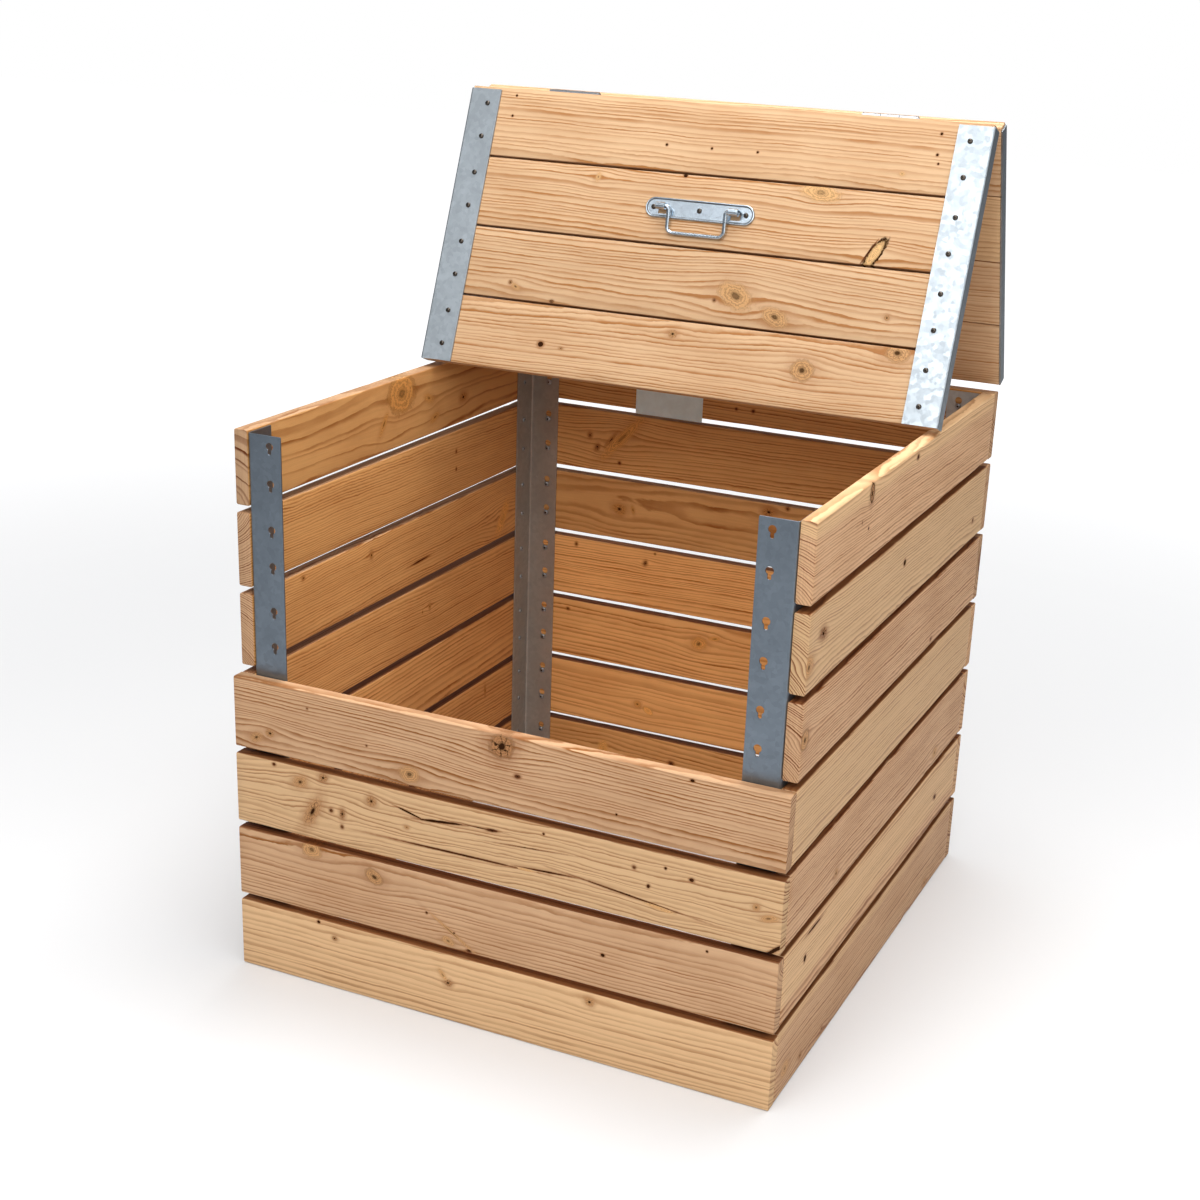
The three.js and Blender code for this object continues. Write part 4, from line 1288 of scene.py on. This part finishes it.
class CornerPosts(bpy.types.Operator):
    """Builds the four folded corner posts with their keyholes"""

    bl_idname = "compost_bin.corner_posts"
    bl_label = "Corner posts"

    def execute(self, context):
        s, w = sizes(), layout()
        # Half the bend lies flat in the blank on either side of its middle
        flat = math.pi * (POST_BEND + s.sheet / 2) / 4
        reach = flat + s.flange - POST_BEND - s.sheet
        length = w["height"] - 2 * POST_INSET
        outline = rounded_rectangle(-reach, reach, 0, length, POST_CORNER, 4)
        across = flat + KEYHOLES_IN - POST_BEND - s.sheet
        holes = [
            keyhole(across, row * w["pitch"] + h - POST_INSET)
            for row in range(WALL_ROWS)
            for h in screw_heights()
        ]
        shaded_front_zinc = finish_of("Galvanised front posts, painted shade", shaded_front_post_zinc)
        rear_zinc_wood_reflection = finish_of("Galvanised rear posts, painted wood reflection", rear_post_zinc_wood_reflection)
        for end, y, way, zinc in (
            ("front", w["post_front"], 1, shaded_front_zinc),
            ("rear", w["post_rear"], -1, rear_zinc_wood_reflection),
        ):
            for side, sign in SIDES:
                mesh = punched_blank(outline, holes, s.sheet, 0.25 * MM)
                fold(mesh, POST_BEND, s.sheet)
                mirror = Matrix.Diagonal((-sign, way, 1, 1))
                mesh.transform(mirror)
                if mirror.determinant() < 0:
                    mesh.flip_normals()
                post = shown(f"corner_post_{end}_{side}_sheet", mesh, zinc, 18)
                place = Matrix.Translation(at(sign * w["post_face"], y, POST_INSET))
                settle(post, place, "bin", "galvanised_sheet", f"corner_post_{end}_{side}")
        return {"FINISHED"}


def half_layout(half):
    """Where a lid half starts, its seam, and whether its ridge is at the start."""
    s, w = sizes(), layout()
    if half == "rear":
        return w["rear_start"], s.rear_seam, True
    boards, seams = LID_ROWS * s.board_height, (LID_ROWS - 1) * s.front_seam
    return w["rear_start"] - s.lid_gap - boards - seams, s.front_seam, False


class LidBoards(bpy.types.Operator):
    """Builds the four boards of each half of the lid"""

    bl_idname = "compost_bin.lid_boards"
    bl_label = "Lid boards"

    def execute(self, context):
        s, f, w = sizes(), finishes(), layout()
        woods = (f.lid_early, f.lid_late, f.sapwood, (1, 1, 1))
        lay = Matrix.Rotation(-math.pi / 2, 4, "X")
        for half, fold_place in lid_places().items():
            start, seam, _ = half_layout(half)
            for i in range(LID_ROWS):
                node = f"lid_{half}_board_{i + 1}"
                y = start + i * (s.board_height + seam) + s.board_height / 2
                middle = at(0, y, w["lid_under"] + s.board_thickness / 2)
                place = fold_place @ Matrix.Translation(middle) @ lay
                # Painted shade darkens the board edges along the lid's seams
                gap_shade = gap_shade_beside("lid", i)
                board_of_wood(node, place, f"lid_{half}", "lid_wood", s.lid_ease, woods, gap_shade)
        return {"FINISHED"}


def angle_path(reach, drop, bend, steps=5):
    """The middle line of an angle strip, from one flange's end round the bend to the other."""
    middle = sizes().sheet / 2
    corner = bend + 2 * middle
    straight = corner + 0.2 * MM
    return [
        (reach, middle),
        (straight, middle),
        *arc((corner, corner), corner - middle, 270, 180, steps),
        (middle, straight),
        (middle, drop),
    ]


# How much shorter than its boards a strip is, at the ridge, its bend's inner radius, and
# from its outer corner to the middle of its screws
STRIP_SHORT = 4 * MM
STRIP_BEND = 0.9 * MM
STRIP_SCREWS_IN = 31 * MM


class LidStrips(bpy.types.Operator):
    """Builds the angle strips that hold the lid's boards, with their screws"""

    bl_idname = "compost_bin.lid_strips"
    bl_label = "Lid strips"

    def execute(self, context):
        s, w = sizes(), layout()
        edge = s.board_length / 2 + SEAT + s.sheet
        top = w["lid_top"] + SEAT + s.sheet
        outline = ribbon(angle_path(s.flange, top - w["lid_under"], STRIP_BEND), s.sheet)
        zinc = finish_of("Galvanised strips", strip_zinc)
        # The lid's screws use the plating darkened as painted shade
        dark = finish_of("Dark plating, painted shade", shaded_lid_screw_plating)
        for half, fold_place in lid_places().items():
            body = f"lid_{half}"
            start, seam, ridge_first = half_layout(half)
            depth = LID_ROWS * s.board_height + (LID_ROWS - 1) * seam
            strip_y = start + STRIP_SHORT if ridge_first else start
            verts, faces = bar_mesh(outline, 0, depth - STRIP_SHORT, 0.3 * MM)
            for side, sign in SIDES:
                name = f"lid_{half}_strip_{side}"
                turned = [(-sign * y, x, -z) for x, y, z in verts]
                kept = faces if sign < 0 else [tuple(reversed(face)) for face in faces]
                strip = object_from(f"{name}_sheet", turned, kept, zinc)
                place = fold_place @ Matrix.Translation(at(sign * edge, strip_y, top))
                settle(strip, place, body, "galvanised_sheet", name)
            points = [
                at(side * (edge - STRIP_SCREWS_IN), start + i * (s.board_height + seam) + h, top)
                for side in (-1, 1)
                for i in range(LID_ROWS)
                for h in screw_heights()
            ]
            name, slot = f"lid_{half}_screws", "galvanised_sheet"
            pattern = small_screw(4 * MM)
            screws(name, points, (0, 0, 1), pattern, body, slot, fold_place, dark)
        return {"FINISHED"}


def swept(path, radius, sides):
    """A round wire along a path that lies in X and Y, with closed ends."""
    verts, faces = [], []
    for i, point in enumerate(path):
        here = Vector((*point, 0))
        before = here - Vector((*path[i - 1], 0)) if i else Vector((*path[1], 0)) - here
        after = Vector((*path[i + 1], 0)) - here if i < len(path) - 1 else before
        along = (before.normalized() + after.normalized()).normalized()
        side = Vector((-along.y, along.x, 0))
        for k in range(sides):
            turn = 2 * math.pi * k / sides
            out, up = radius * math.cos(turn), radius * math.sin(turn)
            verts.append(here + side * out + Vector((0, 0, up)))
    for i in range(len(path) - 1):
        for k in range(sides):
            a, b = i * sides + k, i * sides + (k + 1) % sides
            faces.append((a, b, b + sides, a + sides))
    last = (len(path) - 1) * sides
    faces += [tuple(reversed(range(sides))), tuple(range(last, last + sides))]
    return verts, faces


HINGE_LENGTH = 80 * MM
HINGE_SCREWS = (-26 * MM, 26 * MM)
HINGE_FROM_SIDE = 152.5 * MM
LEAF_SHEET = 2 * MM


def third_of_hinge(third, gap):
    """The start and end of one third of a hinge's length, with a gap at each end."""
    start = (third - 1.5) * HINGE_LENGTH / 3 + gap
    return start, start + HINGE_LENGTH / 3 - 2 * gap


def knuckles(barrel, pin, thirds):
    """Rings of a hinge's barrel about X, over the given thirds of its length."""
    verts, faces = [], []
    soft, bore, sides = 0.35 * MM, pin + 0.2 * MM, 28
    for third in thirds:
        start, end = third_of_hinge(third, 0.25 * MM)
        rows = [
            (start, bore),
            (start, barrel - soft),
            (start + soft, barrel),
            (end - soft, barrel),
            (end, barrel - soft),
            (end, bore),
        ]
        base = len(verts)
        for x, radius in rows:
            for k in range(sides):
                turn = 2 * math.pi * k / sides
                verts.append((x, radius * math.cos(turn), radius * math.sin(turn)))
        for i in range(len(rows)):
            for k in range(sides):
                a = base + i * sides + k
                b = base + i * sides + (k + 1) % sides
                c = base + (i + 1) % len(rows) * sides + (k + 1) % sides
                d = base + (i + 1) % len(rows) * sides + k
                faces.append((a, b, c, d))
    return verts, [tuple(reversed(f)) for f in faces]


def pin_of(radius):
    """A hinge pin along X, with a domed head at each end."""
    half, head = HINGE_LENGTH / 2, radius + 1.3 * MM
    rows = [
        (head * 0.35, half + 1.5 * MM, 0),
        (head * 0.75, half + 1.3 * MM, 0),
        (head, half + 0.7 * MM, 0),
        (head, half + 0.1 * MM, 0),
        (radius, half, 0),
        (radius, -half, 0),
        (head, -half - 0.1 * MM, 0),
        (head, -half - 0.7 * MM, 0),
        (head * 0.75, -half - 1.3 * MM, 0),
        (head * 0.35, -half - 1.5 * MM, 0),
    ]
    verts, faces = turned_profile(rows, 24)
    return [(z, y, -x) for x, y, z in verts], faces


def leaf_piece(name, parts, place, body, node):
    """One hinge leaf with its knuckles and screws. Its axes stay level with the frame's."""
    turn = place.to_3x3().to_4x4()
    verts, faces = gather([(verts, faces, turn @ here) for verts, faces, here in parts])
    made = object_from(name, verts, faces, finish_of("Dull plating", dull_plating))
    return settle(made, Matrix.Translation(place.translation), body, "hinge_steel", node)


def leaf_screws(y, z, direction):
    """The screws of one leaf, as parts of it."""
    pattern = pan_screw(3.75 * MM, 2.2 * MM, 1.8 * MM, 3 * MM)
    turn = facing(direction)
    return [(*pattern, Matrix.Translation((x, y, z)) @ turn) for x in HINGE_SCREWS]


def leaf_sheet(path):
    """The bent sheet of one leaf, along its whole length."""
    half = HINGE_LENGTH / 2 - 0.4 * MM
    return bar_mesh(ribbon(path, LEAF_SHEET), -half, half, 0.4 * MM)


def leaf_root(path, third):
    """The sheet between a leaf and one of its knuckles."""
    return bar_mesh(ribbon(path, LEAF_SHEET), *third_of_hinge(third, 0.5 * MM), 0.3 * MM)


def hinge_places():
    """Across the bin, where its two pairs of hinges stand."""
    x = sizes().board_length / 2 - HINGE_FROM_SIDE
    return (("left", -x), ("right", x))


class RearHinges(bpy.types.Operator):
    """Builds the two hinges between the rear wall and the lid's rear half"""

    bl_idname = "compost_bin.rear_hinges"
    bl_label = "Rear hinges"

    def execute(self, context):
        here = Matrix.Identity(4)
        barrel, pin = 4 * MM, 2.2 * MM
        rear = lid_places()["rear"]
        # Both leaves stand this far before the pin, and the lid's leaf bends over its edge
        face, top, bend_radius = -3 * MM, 15.3 * MM, 1.9 * MM
        wall_path = [(face, -52 * MM), (face, -20 * MM), (face, -3.2 * MM)]
        bend_middle = (face - bend_radius, top - LEAF_SHEET / 2 - bend_radius)
        bend = arc(bend_middle, bend_radius, 0, 90, 5)
        lid_path = [(face, 4.6 * MM), *bend, (-48 * MM, top - LEAF_SHEET / 2)]
        root = [(face, 5.2 * MM), (face, 3.4 * MM), (face, 1.2 * MM)]
        for side, x in hinge_places():
            name = f"rear_hinge_{side}"
            place = Matrix.Translation(rear_pin() + Vector((x, 0, 0)))
            wall = [
                (*leaf_sheet(wall_path), here),
                (*knuckles(barrel, pin, (0, 2)), here),
                *leaf_screws(face + LEAF_SHEET / 2, -28 * MM, (0, 1, 0)),
            ]
            leaf_piece(f"{name}_wall", wall, place, "bin", f"{name}_wall_leaf")
            lid = [
                (*leaf_sheet(lid_path), here),
                (*leaf_root(root, 1), here),
                (*knuckles(barrel, pin, (1,)), here),
                *leaf_screws(-27 * MM, top, (0, 0, 1)),
            ]
            leaf_piece(f"{name}_lid", lid, rear @ place, "lid_rear", f"{name}_lid_leaf")
            leaf_piece(f"{name}_rod", [(*pin_of(pin), here)], place, "bin", f"{name}_pin")
        return {"FINISHED"}


class MiddleHinges(bpy.types.Operator):
    """Builds the two hinges between the lid's two halves"""

    bl_idname = "compost_bin.middle_hinges"
    bl_label = "Middle hinges"

    def execute(self, context):
        here = Matrix.Identity(4)
        barrel, pin = 5.9 * MM, 3 * MM
        # The leaves lie this far above the pin, flat under the lid's boards
        level = 5 * MM
        for half, sign, thirds in (("rear", 1, (1,)), ("front", -1, (0, 2))):
            path = [(sign * y * MM, level) for y in (6.9, 20, 42)][::-sign]
            root = [(sign * y * MM, level) for y in (9, 5, 1)][::-sign]
            for side, x in hinge_places():
                name = f"middle_hinge_{side}"
                parts = [
                    (*leaf_sheet(path), here),
                    (*knuckles(barrel, pin, thirds), here),
                    *leaf_screws(sign * 24 * MM, level - LEAF_SHEET / 2, (0, 0, -1)),
                    *((*leaf_root(root, third), here) for third in thirds),
                ]
                shut = Matrix.Translation(middle_pin() + Vector((x, 0, 0)))
                place = lid_places()[half] @ shut
                leaf_piece(f"{name}_{half}", parts, place, f"lid_{half}", f"{name}_{half}_leaf")
                if half == "rear":
                    rod = [(*pin_of(pin), here)]
                    leaf_piece(f"{name}_rod", rod, place, "lid_rear", f"{name}_pin")
        return {"FINISHED"}


def handle_y():
    """Where the handle stands on the second board below the ridge, with the lid shut."""
    s = sizes()
    start, seam, _ = half_layout("front")
    return start + 2 * (s.board_height + seam) + s.board_height / 2


# Along the handle's plate: its screws, and the middles of its lugs and of the windows that
# they were cut from, with half their width
PLATE_SCREWS = (-70 * MM, 0, 70 * MM)
LUGS = (-55 * MM, 55 * MM)
LUG_HALF = 7 * MM
# Above the plate's underside: its floor, and the axis that the bail turns about
PLATE_FLOOR = 1.5 * MM
BAIL_AXIS = 11.7 * MM
# The plate's rim from its foot on the wood, over its round top, down to the floor. Each row
# is how far it stands in from the outline and how high, in millimetres
PLATE_RIM = [
    (0.35, 0.0),
    (0.0, 0.4),
    (0.05, 1.4),
    (0.4, 2.3),
    (1.0, 2.8),
    (1.7, 2.85),
    (2.3, 2.4),
    (2.8, 1.8),
    (3.4, 1.5),
    (4.0, 1.5),
]
# Rows of the rim that get painted shade: the foot, and the hollow inside it
SHADED_ROWS = (0, 1, 6, 7, 8)


def oblong(straight, radius, steps=20):
    """The closed outline of a plate with round ends."""
    right = arc((straight, 0), radius, -90, 90, steps)
    return right + arc((-straight, 0), radius, 90, 270, steps)


def plate_mesh():
    """The handle's plate: a rolled rim round a flat floor with screw holes and windows."""
    s = sizes()
    radius, straight = s.plate_width / 2, s.plate_length / 2 - s.plate_width / 2
    plate = bmesh.new()
    rows = [
        [plate.verts.new((x, y, z * MM)) for x, y in oblong(straight, radius - depth * MM)]
        for depth, z in PLATE_RIM
    ]
    n = len(rows[0])
    for lower, upper in zip(rows, rows[1:]):
        for k in range(n):
            plate.faces.new((lower[k], lower[(k + 1) % n], upper[(k + 1) % n], upper[k]))
    edges = [plate.edges.get((rows[-1][k], rows[-1][(k + 1) % n])) for k in range(n)]
    under = [plate.edges.get((rows[0][k], rows[0][(k + 1) % n])) for k in range(n)]
    holes = [arc((x, 0), 3.2 * MM, 0, 345, 23) for x in PLATE_SCREWS]
    for x in LUGS:
        holes.append(rounded_rectangle(x - LUG_HALF, x + LUG_HALF, -8.5 * MM, 0, 0.8 * MM, 4))
    for hole in holes:
        top = [plate.verts.new((x, y, PLATE_FLOOR)) for x, y in hole]
        low = [plate.verts.new((x, y, 0)) for x, y in hole]
        for k in range(len(hole)):
            nxt = (k + 1) % len(hole)
            plate.faces.new((top[k], top[nxt], low[nxt], low[k]))
            edges.append(plate.edges.get((top[k], top[nxt])))
            under.append(plate.edges.get((low[k], low[nxt])))
    bmesh.ops.triangle_fill(plate, use_beauty=True, edges=edges)
    bmesh.ops.triangle_fill(plate, use_beauty=True, edges=under)
    bmesh.ops.recalc_face_normals(plate, faces=plate.faces[:])
    mesh = bpy.data.meshes.new("handle_plate_pressed")
    plate.to_mesh(mesh)
    plate.free()
    depth = mesh.attributes.new("recess_shade", "FLOAT", "POINT")
    for i, item in enumerate(depth.data):
        # Painted shade on the rim's foot and hollow
        item.value = 0.75 if i // n in SHADED_ROWS else 0.0
    return mesh


class Handle(bpy.types.Operator):
    """Builds the handle: its pressed plate, rolled lugs, screws and wire bail"""

    bl_idname = "compost_bin.handle"
    bl_label = "Handle"

    def execute(self, context):
        s, w = sizes(), layout()
        metal = finish_of("Bright plating", bright_plating)
        lid = lid_places()["front"]
        under = w["lid_top"] + SEAT
        place = lid @ Matrix.Translation(at(0, handle_y(), under))
        plate = shown("handle_plate_pressed", plate_mesh(), metal, 50)
        settle(plate, place, "lid_front", "handle_steel", "handle_plate")
        # Each lug is a tongue that stands up from the floor and curls over the wire
        curl = 4.4 * MM
        tongue = [(curl, 0.8 * MM), (curl, 5 * MM), *arc((0, BAIL_AXIS), curl, 0, 292, 26)]
        outline = ribbon(tongue[::-1], 1.6 * MM)
        parts = [
            (*bar_mesh(outline, x - LUG_HALF, x + LUG_HALF, 0.35 * MM), Matrix.Identity(4))
            for x in LUGS
        ]
        lugs = object_from("handle_lugs", *gather(parts), metal)
        settle(lugs, place, "lid_front", "handle_steel")
        points = [at(x, handle_y(), under + PLATE_FLOOR) for x in PLATE_SCREWS]
        # The handle's screws use the plating darkened as painted shade
        dark = finish_of("Dark plating, painted shade", shaded_lid_screw_plating)
        kind = (small_screw(3 * MM), "lid_front", "handle_steel")
        screws("handle_screws", points, (0, 0, 1), *kind, lid, dark)
        # The bail lies against the wood, its ends turned out into the lugs
        span, leg, corner, turn = 43 * MM, 36 * MM, 9 * MM, 4.5 * MM
        half = [(60 * MM, 0), (54 * MM, 0)]
        half += arc((span + turn, -turn), turn, 90, 180, 10)
        half += arc((span - corner, corner - leg), corner, 0, -90, 14)
        path = half + [(-x, y) for x, y in reversed(half)]
        wire = swept(path, s.bail_wire / 2, 20)
        bail = object_from("handle_bail_wire", *wire, metal)
        tilt = math.asin((BAIL_AXIS - s.bail_wire / 2) / leg)
        hang = Matrix.Translation(at(0, handle_y(), under + BAIL_AXIS))
        place = lid @ hang @ Matrix.Rotation(tilt, 4, "X")
        settle(bail, place, "handle_bail", "handle_steel", "handle_bail")
        return {"FINISHED"}


def label_finish():
    """A pale, slightly chalky plate with nothing on it."""
    made, r, shader = material("Blank label")
    place = local_millimetres(r)
    tone = r.noise(place, 0.05, 3.0, 0.6)
    base = finishes().label
    stained = r.mix(r.ease(tone, 0.3, 0.7, 0.0, 0.6), [*base, 1], dimmed(base, 0.86))
    r.feed(shader["Base Color"], stained)
    grain = r.noise(place, 1.2, 3.0, 0.6)
    r.feed(shader["Roughness"], r.math("MULTIPLY_ADD", grain, 0.2, 0.32))
    r.feed(shader["Normal"], relief(r, r.math("MULTIPLY", grain, 0.015), 0.5))
    return made


# The label's width, height, thickness and corners, and its middle across and up the wall
LABEL_WIDTH = 115 * MM
LABEL_HEIGHT = 60 * MM
LABEL_SHEET = 1 * MM
LABEL_CORNER = 2 * MM
LABEL_ACROSS = -126.5 * MM
LABEL_UP = 684 * MM


class Label(bpy.types.Operator):
    """Builds the blank label plate inside the rear wall"""

    bl_idname = "compost_bin.label"
    bl_label = "Label"

    def execute(self, context):
        s, w = sizes(), layout()
        x, y = LABEL_WIDTH / 2, LABEL_HEIGHT / 2
        outline = rounded_rectangle(-x, x, -y, y, LABEL_CORNER, 5)
        mesh = punched_blank(outline, [], LABEL_SHEET, 0.2 * MM)
        plate = shown("rear_label", mesh, finish_of("Blank label", label_finish))
        clear = LABEL_SHEET / 2 + 0.05 * MM
        middle = at(LABEL_ACROSS, w["depth"] - s.board_thickness - clear, LABEL_UP)
        place = Matrix.Translation(middle) @ Matrix.Rotation(math.pi / 2, 4, "X")
        settle(plate, place, "bin", "handle_steel")
        return {"FINISHED"}


def add_camera(scene):
    """The camera at the viewing angle that the bin is shown from."""
    view = bpy.data.cameras.new("View")
    view.sensor_width = 36
    view.lens = 56.9466
    view.shift_x = -0.03275167
    view.shift_y = 0.05614083
    view.clip_end = 50
    camera = bpy.data.objects.new("View", view)
    camera.location = (1.03030, -2.34858, 1.34869)
    camera.rotation_euler = (1.209285, -0.040606, 0.425697)
    scene.collection.objects.link(camera)
    scene.camera = camera


# Half the floor's width in metres, and how far it lies below the boards
FLOOR_REACH = 12.0
FLOOR_DROP = 0.4 * MM


def floor_finish():
    """A pale floor that looks white further away, and keeps the bin's shadow near it."""
    made, r, shader = material("Pale floor")
    place = r.add("ShaderNodeTexCoord").outputs["Object"]
    base = finishes().floor
    cloud = r.noise(place, 0.8, 3.0)
    r.feed(shader["Base Color"], r.mix(cloud, [*base, 1], dimmed(base, 0.985)))
    shader["Roughness"].default_value = 0.6
    shader["Emission Color"].default_value = (1, 1, 1, 1)
    looked_at = r.add("ShaderNodeLightPath").outputs["Is Camera Ray"]
    glow = r.ease(r.vector("LENGTH", place), 0.9, 4.5, 0.14, 0.85)
    r.feed(shader["Emission Strength"], r.math("MULTIPLY", looked_at, glow))
    return made


def add_floor():
    """The floor that the bin stands on."""
    far = FLOOR_REACH
    corners = [(-far, -far, 0), (far, -far, 0), (far, far, 0), (-far, far, 0)]
    floor = object_from("floor", corners, [(0, 1, 2, 3)], finish_of("Pale floor", floor_finish))
    floor.location.z = -FLOOR_DROP


def add_world(scene):
    """A white surrounding that lights the bin as a grey dome, paler above."""
    world = bpy.data.worlds.new("Studio")
    world.use_nodes = True
    world.node_tree.nodes.clear()
    sky = Recipe(world.node_tree)
    path = sky.add("ShaderNodeLightPath").outputs
    seen = sky.math("MAXIMUM", path["Is Camera Ray"], path["Is Transmission Ray"])
    height = sky.split(sky.add("ShaderNodeTexCoord").outputs["Generated"])[2]
    low, high = (0.12, 0.125, 0.135, 1), (0.35, 0.355, 0.37, 1)
    dome = sky.mix(sky.ease(height, 0.0, 0.9), low, high)
    light = sky.add("ShaderNodeBackground", {"Color": dome, "Strength": 1.0})
    white = sky.add("ShaderNodeBackground", {"Color": (1, 1, 1, 1), "Strength": 1.0})
    shade = sky.add("ShaderNodeMixShader", {0: seen, 1: light.outputs[0], 2: white.outputs[0]})
    sky.add("ShaderNodeOutputWorld", {"Surface": shade.outputs[0]})
    scene.world = world


# Each lamp's name, place and aim in metres, width in metres and power in watts
LAMPS = (
    ("Key", (1.2, -2.8, 2.6), (0, 0, 0.5), 2.0, 20),
    ("Right gleam", (-0.35, -2.75, 2.65), (0.4, -0.1, 0.9), 1.3, 23),
    ("Left gleam", (-2.2, -2.3, 2.5), (-0.4, -0.1, 0.9), 1.6, 8),
    ("Fill", (2.8, -1.4, 1.6), (0, 0, 0.5), 2.4, 28),
    ("Front top", (0, -1.4, 3.6), (0, 0, 0.4), 2.2, 44),
    ("Top", (0.2, 0.6, 3.6), (0, 0, 0.6), 2.2, 100),
)


def add_lamps(scene):
    """Broad round lamps, each turned to its aim."""
    for name, place, aim, width, power in LAMPS:
        lamp = bpy.data.lights.new(name, "AREA")
        lamp.shape = "DISK"
        lamp.size = width
        lamp.energy = power
        holder = bpy.data.objects.new(name, lamp)
        holder.location = place
        towards = Vector(aim) - Vector(place)
        holder.rotation_euler = towards.to_track_quat("-Z", "Y").to_euler()
        scene.collection.objects.link(holder)


class Stage(bpy.types.Operator):
    """Sets up the camera, the pale floor and the soft studio light"""

    bl_idname = "compost_bin.stage"
    bl_label = "Stage"

    def execute(self, context):
        scene = context.scene
        scene.view_settings.view_transform = "Standard"
        add_camera(scene)
        add_floor()
        add_world(scene)
        add_lamps(scene)
        return {"FINISHED"}


OPERATORS = [
    Stage,
    SideBoards,
    RearBoards,
    FrontBoards,
    CornerPosts,
    LidBoards,
    LidStrips,
    RearHinges,
    MiddleHinges,
    Handle,
    Label,
]


class BinPanel(bpy.types.Panel):
    """Lists the bin's sizes, finishes and building steps"""

    bl_idname = "VIEW3D_PT_compost_bin"
    bl_label = "Compost bin"
    bl_space_type = "VIEW_3D"
    bl_region_type = "UI"
    bl_category = "Compost bin"

    def draw(self, context):
        column = self.layout.column()
        for group_name in ("bin_sizes", "bin_finishes"):
            values = getattr(context.scene, group_name)
            for key in values.bl_rna.properties.keys():
                if key not in ("rna_type", "name"):
                    column.prop(values, key)
        for operator in OPERATORS:
            column.operator(operator.bl_idname)


CLASSES = [BinSizes, BinFinishes, *OPERATORS, BinPanel]


def register():
    for item in CLASSES:
        bpy.utils.register_class(item)
    bpy.types.Scene.bin_sizes = PointerProperty(type=BinSizes)
    bpy.types.Scene.bin_finishes = PointerProperty(type=BinFinishes)


def unregister():
    del bpy.types.Scene.bin_finishes
    del bpy.types.Scene.bin_sizes
    for item in reversed(CLASSES):
        bpy.utils.unregister_class(item)


def main():
    register()
    for operator in OPERATORS:
        family, step = operator.bl_idname.split(".")
        getattr(getattr(bpy.ops, family), step)()


if __name__ == "__main__":
    main()
